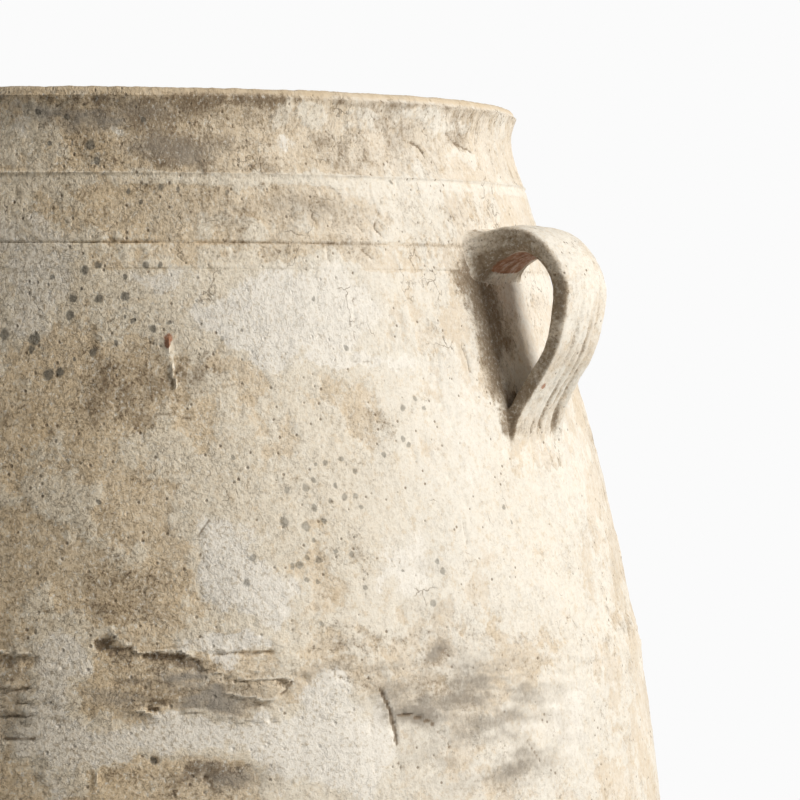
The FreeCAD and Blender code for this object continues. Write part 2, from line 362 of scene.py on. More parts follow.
def camera_place(stage):
    """Where the camera stands and how it is turned."""
    turn = stage.camera_turn
    reach = stage.camera_distance
    place = Vector((math.sin(turn) * reach, -math.cos(turn) * reach, stage.camera_height))
    return place, Euler((math.pi / 2 - stage.camera_dip, 0, turn - stage.camera_pan))


def across_view(x, y, turn):
    """How far right of the jar's axis a place lies, and how far towards the camera."""
    right = x * math.cos(turn) + y * math.sin(turn)
    front = x * math.sin(turn) - y * math.cos(turn)
    return right, front


# Node trees

class Field:
    """A value inside a node tree, which can be summed, scaled and compared."""

    def __init__(self, canvas, socket):
        self.canvas = canvas
        self.socket = socket

    def __add__(self, other):
        return self.canvas.math("ADD", self, other)

    __radd__ = __add__

    def __sub__(self, other):
        return self.canvas.math("SUBTRACT", self, other)

    def __rsub__(self, other):
        return self.canvas.math("SUBTRACT", other, self)

    def __mul__(self, other):
        return self.canvas.math("MULTIPLY", self, other)

    __rmul__ = __mul__

    def __truediv__(self, other):
        return self.canvas.math("DIVIDE", self, other)

    def __rtruediv__(self, other):
        return self.canvas.math("DIVIDE", other, self)

    def __neg__(self):
        return self.canvas.math("MULTIPLY", self, -1.0)

    def __abs__(self):
        return self.canvas.math("ABSOLUTE", self)

    def least(self, other):
        """The lesser of two values."""
        return self.canvas.math("MINIMUM", self, other)

    def most(self, other):
        """The greater of two values."""
        return self.canvas.math("MAXIMUM", self, other)

    def limited(self):
        """The value, kept from 0 to 1."""
        return self.canvas.math("ADD", self, 0.0, use_clamp=True)

    def over(self, low, high):
        """0 below low, 1 above high and smooth between; the other way round if low is the higher."""
        node = self.canvas.node("ShaderNodeMapRange", interpolation_type="SMOOTHSTEP")
        for name, value in (("Value", self), ("From Min", low), ("From Max", high)):
            self.canvas.feed(node.inputs[name], value)
        return Field(self.canvas, node.outputs[0])

    def near(self, middle, reach):
        """1 at the middle, falling to 0 at a reach on both sides."""
        return abs(self - middle).over(reach, 0.0)


class Canvas:
    """A node tree, with short ways to add to it."""

    def __init__(self, tree):
        self.tree = tree

    def node(self, kind, **settings):
        """A new node."""
        node = self.tree.nodes.new(kind)
        for name, value in settings.items():
            setattr(node, name, value)
        return node

    def feed(self, socket, value):
        """Links a field to a socket, or sets a plain value on it."""
        if isinstance(value, Field):
            self.tree.links.new(value.socket, socket)
        elif value is not None:
            socket.default_value = value

    def made(self, kind, inputs, output=0, **settings):
        """A node with some inputs set by name, and one of its outputs."""
        node = self.node(kind, **settings)
        for name, value in inputs.items():
            self.feed(node.inputs[name], value)
        return Field(self, node.outputs[output])

    def math(self, operation, *values, **settings):
        """A sum on numbers."""
        node = self.node("ShaderNodeMath", operation=operation, **settings)
        for socket, value in zip(node.inputs, values):
            self.feed(socket, value)
        return Field(self, node.outputs[0])

    def vector(self, operation, *values):
        """A sum on places."""
        node = self.node("ShaderNodeVectorMath", operation=operation)
        for socket, value in zip(node.inputs, values):
            self.feed(socket, value)
        number = operation in ("DISTANCE", "LENGTH", "DOT_PRODUCT")
        return Field(self, node.outputs["Value" if number else "Vector"])

    def scaled(self, direction, factor):
        """A direction made longer or shorter."""
        return self.made("ShaderNodeVectorMath", {"Vector": direction, "Scale": factor}, operation="SCALE")

    def joined(self, x, y, z):
        """Three numbers as a place."""
        return self.made("ShaderNodeCombineXYZ", {"X": x, "Y": y, "Z": z})

    def split(self, direction):
        """The three numbers of a place."""
        node = self.node("ShaderNodeSeparateXYZ")
        self.feed(node.inputs[0], direction)
        return [Field(self, output) for output in node.outputs]

    def mix(self, factor, under, over, blend="MIX"):
        """One colour over another."""
        node = self.node("ShaderNodeMix", data_type="RGBA", blend_type=blend)
        for place, value in ((0, factor), (6, under), (7, over)):
            value = value if isinstance(value, (Field, float, int)) else (*value, 1.0)
            self.feed(node.inputs[place], value)
        return Field(self, node.outputs[2])

    def noise(self, place, size, detail=3.0, rough=0.55, seed=0.0):
        """Cloudy noise from 0 to 1 whose main lumps have about that size."""
        moved = self.vector("ADD", place, (seed * 37.0, seed * 17.0, seed * 53.0))
        inputs = {"Vector": moved, "Scale": 1.0 / size, "Detail": detail, "Roughness": rough}
        return self.made("ShaderNodeTexNoise", inputs)

    def cells(self, place, size, feature="F1", seed=0.0):
        """Distance from the nearest of many scattered seeds, in shares of size, and a chance each."""
        moved = self.vector("ADD", place, (seed * 29.0, seed * 71.0, seed * 13.0))
        node = self.node("ShaderNodeTexVoronoi", feature=feature)
        self.feed(node.inputs["Vector"], moved)
        self.feed(node.inputs["Scale"], 1.0 / size)
        if feature != "F1":
            return Field(self, node.outputs["Distance"])
        chance = self.split(Field(self, node.outputs["Color"]))[0]
        return Field(self, node.outputs["Distance"]), chance

    def ruled(self, rule, **values):
        """One node that holds a rule; the rule's own words name its inputs."""
        kind = self.tree.bl_idname
        name = f"{rule.__name__} {kind}"
        group = bpy.data.node_groups.get(name)
        if group is None:
            group = bpy.data.node_groups.new(name, kind)
            for label, value in values.items():
                number = isinstance(value, (float, int)) or label == "so_far"
                socket = "NodeSocketFloat" if number else "NodeSocketVector"
                group.interface.new_socket(label, in_out="INPUT", socket_type=socket)
            group.interface.new_socket("result", in_out="OUTPUT", socket_type="NodeSocketFloat")
            canvas = Canvas(group)
            start = canvas.node("NodeGroupInput")
            end = canvas.node("NodeGroupOutput")
            given = {label: Field(canvas, start.outputs[label]) for label in values}
            canvas.feed(end.inputs[0], rule(canvas, **given))
        node = self.node(kind.replace("NodeTree", "NodeGroup"), node_tree=group)
        for label, value in values.items():
            self.feed(node.inputs[label], value)
        return Field(self, node.outputs[0])


def soft_oval(canvas, so_far, place, middle, shrink, outer, inner, strength):
    """Adds a soft oval of some strength."""
    away = canvas.vector("MULTIPLY", canvas.vector("SUBTRACT", place, middle), shrink)
    return so_far + canvas.vector("LENGTH", away).over(outer, inner) * strength


def nearest_disc(canvas, so_far, place, middle, radius):
    """Distance from a disc in shares of its radius, if that is nearer than what was nearest so far."""
    return so_far.least(canvas.vector("DISTANCE", place, middle) / radius)


FAR = 100.0


class Skin:
    """Places on the jar's wall in millimetres, as its relief and its finishes read them."""

    def __init__(self, canvas, position, projected=True):
        self.canvas = canvas
        turn = stage_settings().camera_turn
        x, y, z = canvas.split(canvas.scaled(position, PER_METRE))
        self.radius = canvas.math("SQRT", x * x + y * y).most(1.0)
        self.height = z
        right, front = across_view(x, y, turn)
        self.along = canvas.math("ARCTAN2", right, front) * DRUM
        self.flat = canvas.joined(self.along, z, 0.0)
        over_lip = (LIP_EDGE - self.radius).most(0.0)
        drum = DRUM / self.radius
        self.side = right * drum
        self.drum = canvas.joined(x * drum, y * drum, z + over_lip) if projected else canvas.joined(x, y, z)
        self.depth = JAR_TOP * PER_METRE - z
        self.bent_place = None
        self.stirred_place = None

    def stirred(self):
        """The wall laid flat and stirred much, so that patches on it get torn edges."""
        if self.stirred_place is None:
            inputs = {"Vector": self.drum, "Scale": 1 / 26.0, "Detail": 5.0, "Roughness": 0.6}
            wobble = self.canvas.made("ShaderNodeTexNoise", inputs, output="Color")
            middle = self.canvas.vector("SUBTRACT", wobble, (0.5, 0.5, 0.5))
            self.stirred_place = self.canvas.vector("MULTIPLY_ADD", middle, (46.0, 30.0, 0.0), self.flat)
        return self.stirred_place

    def ruffled(self):
        """Places on the wall, stirred a little."""
        inputs = {"Vector": self.drum, "Scale": 0.16, "Detail": 3.0}
        wobble = self.canvas.made("ShaderNodeTexNoise", inputs, output="Color")
        return self.canvas.vector("MULTIPLY_ADD", wobble, (9.0, 9.0, 9.0), self.drum)

    def bent(self):
        """The wall laid flat, stirred a little so that lines and discs drawn on it turn uneven."""
        if self.bent_place is None:
            inputs = {"Vector": self.drum, "Scale": 0.35, "Detail": 2.0}
            wobble = self.canvas.made("ShaderNodeTexNoise", inputs, output="Color")
            self.bent_place = self.canvas.vector("MULTIPLY_ADD", wobble, (2.4, 2.4, 0.0), self.flat)
        return self.bent_place

    def noise(self, size, detail=3.0, rough=0.55, seed=0.0, level=1.0, upright=1.0):
        """Noise on the wall; level and upright draw it out along the wall or up it."""
        place = self.drum
        if (level, upright) != (1.0, 1.0):
            place = self.canvas.vector("MULTIPLY", place, (1 / level, 1 / level, 1 / upright))
        return self.canvas.noise(place, size, detail, rough, seed)

    def patches(self, places, edge=0.75):
        """Soft ovals of given strength, placed on the picture in pixels, summed."""
        total = 0.0
        for x, y, half_wide, half_high, strength in places:
            middle = WALL.flat(x, y)
            wide = max(abs((WALL.flat(x - half_wide, y) - middle).x), 1.0)
            high = max(abs((WALL.flat(x, y + half_high) - middle).y), 1.0)
            total = self.canvas.ruled(
                soft_oval, so_far=total, place=self.stirred(), middle=tuple(middle),
                shrink=(1 / wide, 1 / high, 0), outer=1 + edge, inner=1 - edge, strength=strength)
        return total

    def spots(self, pixels):
        """Distance from the nearest of some spots, in shares of each spot's radius."""
        nearest = FAR
        for x, y, radius in pixels:
            middle = tuple(WALL.flat(x, y) + BENT_MIDDLE)
            nearest = self.canvas.ruled(
                nearest_disc, so_far=nearest, place=self.bent(), middle=middle, radius=radius * SPOT_MM)
        return nearest


# Millimetres of wall to a pixel, near the middle of the picture
SPOT_MM = 0.43

# How far the stirring moves a place on the whole, in millimetres
BENT_MIDDLE = Vector((1.2, 1.2, 0.0))

# Lichen and dark spots: where they lie in the picture, and their radius, in pixels
LICHEN_PIXELS = (
    (90, 145, 6), (67, 117, 4), (38, 112, 4), (143, 120, 3), (50, 143, 3), (97, 161, 4), (129, 191, 3),
    (141, 203, 3), (161, 187, 4), (178, 189, 3), (227, 192, 3), (52, 277, 3), (85, 270, 5), (98, 265, 4),
    (125, 277, 3), (146, 265, 4), (160, 265, 3), (73, 298, 5), (99, 299, 5), (125, 296, 5), (70, 315, 5),
    (5, 334, 6), (34, 339, 7), (31, 350, 4), (48, 374, 6), (60, 372, 5), (93, 352, 4), (153, 329, 4),
    (169, 323, 3), (116, 343, 3), (133, 321, 3), (313, 299, 3), (346, 348, 3), (222, 339, 3),
    (233, 458, 3), (287, 490, 4), (306, 488, 4), (341, 459, 3), (344, 497, 4), (284, 522, 5), (306, 526, 5),
    (324, 521, 3), (314, 508, 4), (314, 540, 3), (319, 560, 4), (300, 565, 4), (293, 566, 3), (307, 558, 3),
    (318, 582, 3), (355, 471, 3), (322, 624, 3), (247, 582, 4), (253, 558, 4), (390, 182, 3), (154, 761, 4),
    (415, 399, 3), (403, 408, 4), (424, 408, 3), (403, 439, 3), (409, 445, 3), (384, 455, 3), (325, 463, 3),
    (315, 465, 2), (313, 480, 3), (335, 485, 3), (330, 501, 3), (356, 496, 3), (361, 507, 3), (336, 551, 3),
    (352, 554, 3), (307, 580, 3), (365, 588, 3), (403, 571, 2), (437, 562, 3), (443, 571, 4), (433, 603, 4),
    (503, 507, 3), (511, 522, 2), (82, 289, 2), (125, 316, 2), (99, 502, 3), (67, 462, 2), (74, 359, 2),
)

# Chips through to the fired clay: place and radius in pixels
CHIP_PIXELS = ((168, 338, 5), (167, 344, 4))

# Hollows where the clay has torn out along the belly's seam and near it: middle and half sizes in
# pixels, then the depth in millimetres
HOLLOWS = (
    (104, 645, 9, 6, 2.2), (121, 649, 14, 3, 1.4), (164, 657, 22, 4, 1.8), (187, 664, 14, 4, 1.6),
    (199, 671, 7, 3, 1.4), (8, 661, 9, 7, 1.8), (27, 662, 7, 4, 1.0), (153, 710, 6, 3, 1.8),
    (283, 684, 5, 4, 1.6), (154, 761, 5, 3, 1.4), (198, 771, 14, 3, 1.2), (210, 777, 7, 4, 1.2),
    (236, 654, 24, 2, 1.0), (262, 653, 14, 2, 1.0), (305, 678, 3, 4, 1.4), (445, 652, 8, 4, 0.9),
    (230, 690, 18, 4, 0.7), (255, 705, 14, 3, 0.6), (142, 683, 30, 3, 0.7), (192, 694, 24, 4, 0.7),
    (165, 703, 20, 3, 0.7), (12, 690, 16, 2, 0.8), (20, 704, 14, 2, 0.7), (10, 716, 14, 2, 0.8),
    (420, 690, 60, 16, 0.4), (560, 668, 60, 10, 0.4), (270, 722, 4, 3, 1.0), (303, 747, 4, 2, 1.0),
)

# Thin raised edges of torn clay: points in the picture, half the width and the height in millimetres
TORN_EDGES = (
    (((92, 641), (95, 634), (103, 631), (110, 630), (116, 637), (125, 644), (139, 653)), 1.0, 1.1),
    (((139, 653), (150, 653), (160, 651), (169, 653), (178, 650), (184, 652), (191, 656)), 0.9, 1.0),
    (((0, 650), (6, 653), (13, 655), (20, 653), (27, 653), (33, 655)), 0.9, 1.0),
    (((241, 648), (246, 642), (254, 639), (264, 638), (274, 640), (283, 646)), 1.2, 0.8),
    (((136, 711), (143, 710), (149, 714), (154, 715), (158, 720)), 0.9, 1.0),
    (((184, 712), (193, 710), (203, 711), (210, 716), (222, 718), (231, 716), (239, 722)), 0.9, 0.8),
    (((239, 722), (250, 719), (262, 721), (271, 723), (284, 716)), 0.9, 0.7),
    (((236, 678), (252, 680), (268, 679), (280, 678), (293, 679)), 0.8, 0.6),
    (((225, 693), (240, 697), (251, 696), (264, 701), (274, 699)), 0.8, 0.7),
    (((214, 672), (232, 674), (246, 670), (260, 672)), 0.8, 0.5),
    (((318, 660), (334, 655), (352, 652), (370, 655)), 0.9, 0.4),
    (((322, 361), (336, 359), (346, 358), (369, 358)), 1.0, 0.5),
    (((380, 362), (400, 364), (418, 367)), 1.0, 0.5),
    (((176, 771), (190, 769), (200, 768), (209, 775), (215, 786)), 0.8, 0.7),
    (((100, 758), (98, 772), (96, 784), (97, 799)), 0.7, 0.6),
    (((131, 411), (140, 412), (150, 413)), 0.7, 0.5),
    (((168, 345), (170, 358), (172, 372), (177, 388)), 1.2, 1.2),
    (((167, 337), (168, 350)), 1.6, 1.6),
    (((240, 574), (258, 588), (272, 600), (283, 618)), 0.8, 0.4),
    (((546, 402), (543, 424), (547, 452)), 1.0, 1.0),
    (((557, 416), (561, 440), (566, 458)), 0.9, 0.8),
)

# Cracks and scratches: points in the picture, then half the width and the depth in millimetres
CRACKS = (
    (((381, 689), (386, 699), (390, 710), (392, 719), (396, 732), (397, 744)), 1.0, 1.2),
    (((397, 717), (408, 715), (420, 718), (434, 724)), 1.0, 1.0),
    (((438, 731), (441, 735)), 0.9, 0.7),
    (((446, 742), (454, 749)), 0.8, 0.8),
    (((399, 763), (402, 769)), 0.9, 0.8),
    (((486, 692), (501, 704), (515, 722), (526, 738)), 0.7, 0.35),
    (((526, 738), (534, 750), (541, 761)), 0.9, 0.7),
    (((150, 413), (170, 415), (191, 419)), 0.7, 0.7),
    (((210, 520), (202, 529), (198, 541), (199, 554), (207, 567)), 0.8, 0.8),
    (((223, 538), (236, 546), (247, 560)), 0.7, 0.5),
    (((284, 575), (300, 594)), 0.7, 0.6),
    (((318, 580), (327, 590), (333, 600)), 0.7, 0.5),
    (((411, 143), (418, 146), (425, 157)), 0.9, 0.9),
    (((446, 133), (454, 143), (471, 152)), 0.9, 0.8),
    (((446, 106), (447, 116)), 0.8, 0.7),
    (((479, 121), (485, 111)), 0.8, 0.7),
    (((205, 779), (213, 783), (215, 791)), 0.9, 1.0),
    (((293, 680), (288, 688), (283, 694)), 0.8, 1.0),
    (((315, 497), (324, 510)), 0.8, 0.6),
    (((585, 598), (607, 604)), 0.8, 0.5),
    (((376, 220), (375, 229), (381, 235)), 0.8, 0.8),
    (((357, 225), (364, 232)), 0.8, 0.7),
    (((312, 216), (316, 223)), 0.8, 0.7),
    (((289, 214), (294, 220)), 0.8, 0.7),
    (((362, 250), (372, 258)), 0.8, 0.7),
    (((327, 247), (330, 262)), 0.8, 0.6),
    (((434, 230), (441, 243)), 0.8, 0.7),
    (((446, 205), (443, 232)), 0.7, 0.5),
    (((462, 345), (468, 360), (471, 372)), 0.8, 0.7),
    (((355, 432), (363, 440)), 0.8, 0.6),
    (((180, 455), (192, 480)), 0.7, 0.5),
    (((0, 694), (12, 692), (22, 689), (33, 689)), 0.7, 0.6),
    (((0, 706), (10, 707), (20, 704), (34, 705)), 0.7, 0.5),
    (((0, 718), (14, 716), (26, 717), (35, 715)), 0.7, 0.5),
    (((0, 738), (14, 739), (24, 737), (35, 738)), 0.8, 1.0),
    (((322, 365), (346, 363), (369, 362)), 0.6, 0.5),
    (((382, 367), (400, 369), (418, 371)), 0.6, 0.5),
    (((212, 656), (232, 653), (250, 655), (270, 651)), 0.9, 0.5),
    (((330, 668), (352, 670), (380, 669), (410, 666), (439, 662)), 1.3, 0.42),
    (((330, 668), (340, 676), (352, 684)), 0.7, 0.6),
    (((224, 680), (250, 681), (275, 680), (294, 679)), 0.9, 0.5),
    (((34, 656), (35, 668)), 0.7, 0.6),
    (((345, 105), (344, 130), (346, 160)), 0.6, 0.3),
    (((539, 410), (538, 432)), 0.8, 0.8),
    (((552, 418), (555, 448)), 0.8, 0.9),
    (((462, 520), (468, 545)), 0.6, 0.5),
    (((430, 500), (441, 512), (446, 528)), 0.6, 0.5),
)


def hollow_lines():
    """The hollows as short level lines, each as wide as its hollow is high."""
    for x, y, half_wide, half_high, depth in HOLLOWS:
        reach = max(half_wide - half_high, 1)
        yield ((x - reach, y), (x + reach, y)), half_high * SPOT_MM, depth


def guide_object(name, places, edges, faces, layers):
    """An object for a tree to read, with the values that its points or edges carry."""
    mesh = bpy.data.meshes.new(name)
    mesh.from_pydata(places, edges, faces)
    for label, kind, domain, values in layers:
        layer = mesh.attributes.new(label, kind, domain)
        key = "vector" if kind == "FLOAT_VECTOR" else "value"
        layer.data.foreach_set(key, np.array(values, np.float32).ravel())
    thing = bpy.data.objects.new(name, mesh)
    bpy.context.scene.collection.objects.link(thing)
    return thing


def marks_object(name, drawn):
    """Lines drawn on the picture, laid on the flat wall, with what each carries."""
    places, edges, carries = [], [], []
    for points, half_wide, rise in drawn:
        start = len(places)
        places.extend(WALL.flat(x, y) + BENT_MIDDLE for x, y in points)
        edges.extend((i, i + 1) for i in range(start, len(places) - 1))
        carries.extend([(half_wide, rise, 0.0)] * (len(points) - 1))
    return guide_object(name, places, edges, [], [("mark", "FLOAT_VECTOR", "EDGE", carries)])


def line_marks(skin, drawn, fray=0.0, outer=1.0, inner=0.2):
    """How high or deep the nearest of some drawn lines makes the wall, in millimetres."""
    canvas = skin.canvas
    lines = canvas.made("GeometryNodeObjectInfo", {"Object": drawn}, output="Geometry")
    place = {"Geometry": lines, "Sample Position": skin.bent()}
    distance = canvas.made("GeometryNodeProximity", place, output="Distance", target_element="EDGES")
    index = canvas.made("GeometryNodeSampleNearest", place, domain="EDGE")
    carried_here = {"Geometry": lines, "Value": attribute(canvas, "mark", "FLOAT_VECTOR"), "Index": index}
    mark = canvas.made("GeometryNodeSampleIndex", carried_here, data_type="FLOAT_VECTOR", domain="EDGE")
    half_wide, rise, _ = canvas.split(mark)
    return (distance / half_wide + fray).over(outer, inner) * rise


def seam_roughness(skin):
    """How much of the seam's torn band lies here, all round the jar."""
    ragged = (skin.noise(22, detail=4, seed=6, upright=5.0) - 0.5) * 12.0
    height = skin.height + ragged
    band = None
    for low, high in (LOWER_COIL, BELLY_COIL):
        low, high = low * PER_METRE, high * PER_METRE
        here = height.over(low, low + 4) * height.over(high + 1, high - 3)
        band = here if band is None else band + here
    return band


def wall_relief(skin):
    """How far the limewashed wall stands out, in millimetres."""
    free = 0.35 + skin.depth.over(70.0, 130.0) * 0.65
    sway = (skin.noise(130, detail=1, seed=1) - 0.5) * 1.8 * free
    lumps = (skin.noise(34, detail=2, seed=2) - 0.5) * 1.0 * free
    crust = (skin.noise(7, detail=4, rough=0.68, seed=7) - 0.5) * 1.1
    drag = (skin.noise(6, detail=3, seed=8, level=9.0) - 0.5) * 0.7
    kept = attribute(skin.canvas, "lime") * 0.35 - attribute(skin.canvas, "dirt") * 0.3
    plates = (skin.noise(24, detail=5, rough=0.6, seed=9) + kept).over(0.525, 0.56) * 0.45
    distance, chance = skin.canvas.cells(skin.drum, 9.0, seed=1)
    pits = distance.over(0.20, 0.06) * chance.over(0.62, 0.7) * -0.8
    band = seam_roughness(skin) * ((skin.noise(8, detail=4, seed=10, level=4.0) - 0.5) * 2.8 - 0.4)
    rough = skin.noise(6, detail=4, rough=0.65, seed=5, level=2.0)
    raised = attribute(skin.canvas, "torn") * (0.4 + rough * 1.2)
    sunk = attribute(skin.canvas, "hollow") * (0.6 + rough * 0.8) + attribute(skin.canvas, "crack")
    inward = skin.height.over(*HELD_HEIGHTS) * -HELD_IN
    plain = sway + lumps + crust + drag + plates + pits + inward
    return plain + band + raised - sunk + tool_lines(skin)


def tool_lines(skin):
    """The tooled line of the neck and the small steps at its two joins, in millimetres."""
    wave = (skin.noise(60, detail=2, seed=11) - 0.5) * 1.6
    fill = skin.noise(14, detail=5, rough=0.62, seed=12)
    left = skin.side.over(157.0, 88.0)
    depth = skin.depth + wave + (fill - 0.5) * 0.8
    groove = depth.near(TOOL_LINE, 0.95) * (0.4 + fill.over(0.42, 0.56) * 0.6) * (0.2 + left * 0.8) * -1.5
    rim_step = depth.near(RIM_LINE, 1.1) * 0.8 - depth.near(RIM_LINE + 1.6, 0.9) * 0.3
    cut = depth.near(NECK_LINE, 0.9) * (0.45 + fill.over(0.62, 0.46) * 0.55) * (0.35 + left * 0.65) * -1.0
    ledge = depth.near(NECK_LINE - 1.7, 1.2) * 0.35 - depth.over(NECK_LINE - 0.9, NECK_LINE + 0.1) * 0.3
    return groove + rim_step + cut + ledge


def lip_relief(skin):
    """Unevenness of the lip, in millimetres."""
    sway = (skin.noise(90, detail=2, seed=13) - 0.5) * 1.6
    crust = (skin.noise(7, detail=4, rough=0.66, seed=14) - 0.5) * 1.6
    return sway + crust - 0.95


def inside_relief(skin):
    """Throwing rings inside the jar, in millimetres."""
    sway = (skin.noise(70, detail=2, seed=15) - 0.5) * 6.0
    rings = skin.canvas.math("SINE", (skin.height + sway) * 0.36) * 0.9
    return rings + (skin.noise(20, detail=3, seed=16) - 0.5) * 0.8


# Finishes

# Grime, and the painted shadow that the right handle casts on the wall beside and inside its loop: middle
# and half sizes in pixels, then how dirty or shaded
GRIME_AND_SHADOW_PATCHES = (
    (190, 112, 110, 16, 0.24), (172, 152, 46, 14, 0.36), (250, 97, 70, 8, 0.26), (12, 215, 26, 22, 0.10),
    (130, 196, 80, 14, 0.10), (300, 250, 60, 10, 0.24), (240, 180, 60, 36, 0.12), (150, 395, 70, 45, 0.28),
    (165, 374, 14, 18, 0.30), (110, 395, 36, 36, 0.16), (8, 470, 22, 90, 0.12), (120, 600, 50, 36, 0.18),
    (108, 648, 24, 7, 0.25), (168, 692, 58, 13, 0.30), (8, 665, 16, 9, 0.20), (245, 776, 42, 15, 0.50),
    (195, 774, 26, 10, 0.40), (466, 275, 14, 30, 0.45), (205, 668, 40, 8, 0.22),
    (16, 745, 24, 30, 0.14), (96, 560, 20, 110, 0.10), (430, 225, 60, 30, 0.10), (395, 415, 44, 20, 0.16),
    (350, 545, 40, 20, 0.14), (440, 590, 26, 30, 0.08), (330, 150, 50, 24, 0.10),
    (110, 605, 30, 20, 0.20), (140, 752, 50, 10, 0.15), (312, 205, 24, 10, 0.20), (440, 652, 14, 6, 0.25),
    # From (490, 325) to (504, 428) here, and (466, 275), (478, 262) and (486, 315) nearby: partly soot,
    # partly the right handle's painted shadow on the wall.
    (345, 700, 40, 20, 0.12), (490, 325, 16, 56, 0.50), (502, 395, 12, 40, 0.55), (504, 428, 6, 14, 0.50),
    (150, 130, 110, 40, 0.13), (190, 788, 60, 16, 0.25), (100, 760, 40, 30, 0.10), (150, 206, 110, 20, 0.10),
    (356, 635, 46, 4, 0.25), (330, 645, 30, 6, 0.12), (478, 262, 14, 22, 0.30),
    (350, 150, 80, 30, 0.14), (430, 130, 60, 24, 0.12), (380, 215, 70, 18, 0.12), (486, 315, 20, 40, 0.30),
)

# White lime that has stayed on: middle and half sizes in pixels, then how much
LIME_PATCHES = (
    (255, 596, 30, 24, 1.0), (232, 560, 24, 30, 0.6), (165, 738, 125, 17, 0.85), (255, 305, 100, 34, 0.9),
    (310, 330, 90, 60, 0.4), (440, 460, 110, 190, 0.25), (62, 480, 28, 60, 0.4), (438, 118, 40, 8, 0.5),
    (300, 180, 120, 7, 0.4), (58, 700, 22, 90, 0.75), (330, 755, 50, 44, 1.0), (560, 560, 60, 180, 0.35),
    (460, 158, 12, 6, 0.8), (520, 480, 60, 60, 0.3), (30, 290, 50, 50, 0.5), (60, 640, 30, 30, 0.4),
    (400, 770, 44, 28, 0.5), (330, 120, 40, 14, 0.3), (90, 245, 60, 12, 0.3), (20, 130, 30, 30, 0.35),
    (350, 362, 30, 6, 1.4), (400, 365, 22, 5, 1.2), (180, 290, 50, 16, 0.4), (280, 470, 90, 60, 0.3),
    (200, 440, 50, 30, 0.25), (240, 540, 60, 60, 0.35), (400, 520, 50, 50, 0.35), (400, 600, 40, 30, 0.3),
    (270, 300, 110, 40, 0.5), (330, 760, 70, 50, 0.6), (560, 740, 50, 60, 0.4), (300, 640, 70, 20, 0.3),
    (300, 110, 30, 20, 0.4), (400, 150, 60, 50, 0.1),
    (410, 215, 50, 30, 0.4), (550, 400, 40, 60, 0.3), (25, 210, 40, 60, 0.3), (205, 650, 16, 8, 0.6),
)

# Cool pale scale: middle and half sizes in pixels, then how thick
CHALK_PATCHES = (
    (165, 738, 130, 20, 0.9), (60, 725, 26, 84, 0.8), (335, 755, 62, 44, 1.1), (258, 596, 34, 26, 1.0),
    (230, 558, 26, 32, 0.6), (280, 306, 90, 34, 0.8), (345, 362, 26, 6, 1.2), (400, 365, 20, 5, 1.2),
    (24, 295, 44, 56, 0.7), (16, 120, 30, 30, 0.5), (20, 215, 30, 50, 0.4), (140, 262, 60, 10, 0.4),
    (155, 276, 40, 8, 0.6), (60, 660, 26, 20, 0.5),
    (395, 705, 30, 14, 0.3), (560, 720, 36, 50, 0.6), (455, 430, 50, 70, 0.3), (300, 145, 14, 12, 0.6),
    (400, 585, 30, 20, 0.5), (255, 642, 16, 5, 0.9), (110, 130, 10, 5, 0.8), (545, 470, 40, 60, 0.3),
    (320, 690, 26, 20, 0.6), (250, 560, 40, 40, 0.4), (240, 330, 60, 30, 0.4), (215, 648, 38, 18, 0.8),
    (425, 560, 34, 34, 0.6), (300, 330, 70, 40, 0.5), (345, 300, 40, 40, 0.6), (205, 560, 20, 40, 0.6),
)

# Grey smears of old soot and dust: middle and half sizes in pixels, then how strong
SMEAR_PATCHES = (
    (470, 690, 80, 34, 0.75), (490, 762, 70, 36, 0.60), (440, 650, 16, 5, 0.70), (436, 605, 22, 40, 0.35),
    (400, 705, 26, 22, 0.50), (350, 672, 60, 10, 0.40), (60, 112, 90, 15, 0.70), (168, 694, 60, 15, 0.90),
    (232, 700, 50, 14, 0.50), (240, 776, 50, 16, 0.60), (120, 640, 30, 10, 0.40), (16, 700, 24, 50, 0.40),
    (172, 152, 46, 16, 0.50), (420, 722, 30, 8, 0.60), (530, 730, 50, 40, 0.30), (300, 215, 90, 12, 0.30),
)


def shader(name):
    """A new material, its canvas and its main shader."""
    material = bpy.data.materials.new(name)
    material.use_nodes = True
    tree = material.node_tree
    return material, Canvas(tree), tree.nodes["Principled BSDF"]


def wall_dirt_and_shade(skin):
    """How dirty the wall is here, over or under the usual, with the right handle's painted shadow on the
    wall by its loop.
    """
    placed = skin.patches(GRIME_AND_SHADOW_PATCHES)
    under_lip = skin.depth.over(3.0, 5.0) * skin.depth.over(34.0, 8.0) * 0.12
    ragged = (skin.noise(12, detail=4, rough=0.62, seed=61) - 0.5) * 9.0
    lip_line = (skin.depth + ragged).near(6.6, 3.4) * skin.noise(11, detail=4, seed=62).over(0.40, 0.60)
    lip_line = lip_line * (skin.side.over(172.0, 59.0) * 0.5 + 0.12)
    # The seam's hollows get dirtier, and its raised torn edges cleaner, partly as painted highlight on their
    # tops.
    torn = attribute(skin.canvas, "hollow") * 0.22 - attribute(skin.canvas, "torn") * 0.4
    seam = seam_roughness(skin) * 0.10 + torn
    lines = skin.depth.near(TOOL_LINE, 1.5) * 0.24 + skin.depth.near(NECK_LINE - 0.1, 1.2) * 0.22
    elsewhere = skin.along.over(-30.0, -110.0) + skin.along.over(300.0, 380.0)
    wild = (skin.noise(120, detail=3, seed=60) - 0.42) * elsewhere * 0.8
    return placed + under_lip + lip_line + seam + lines + wild


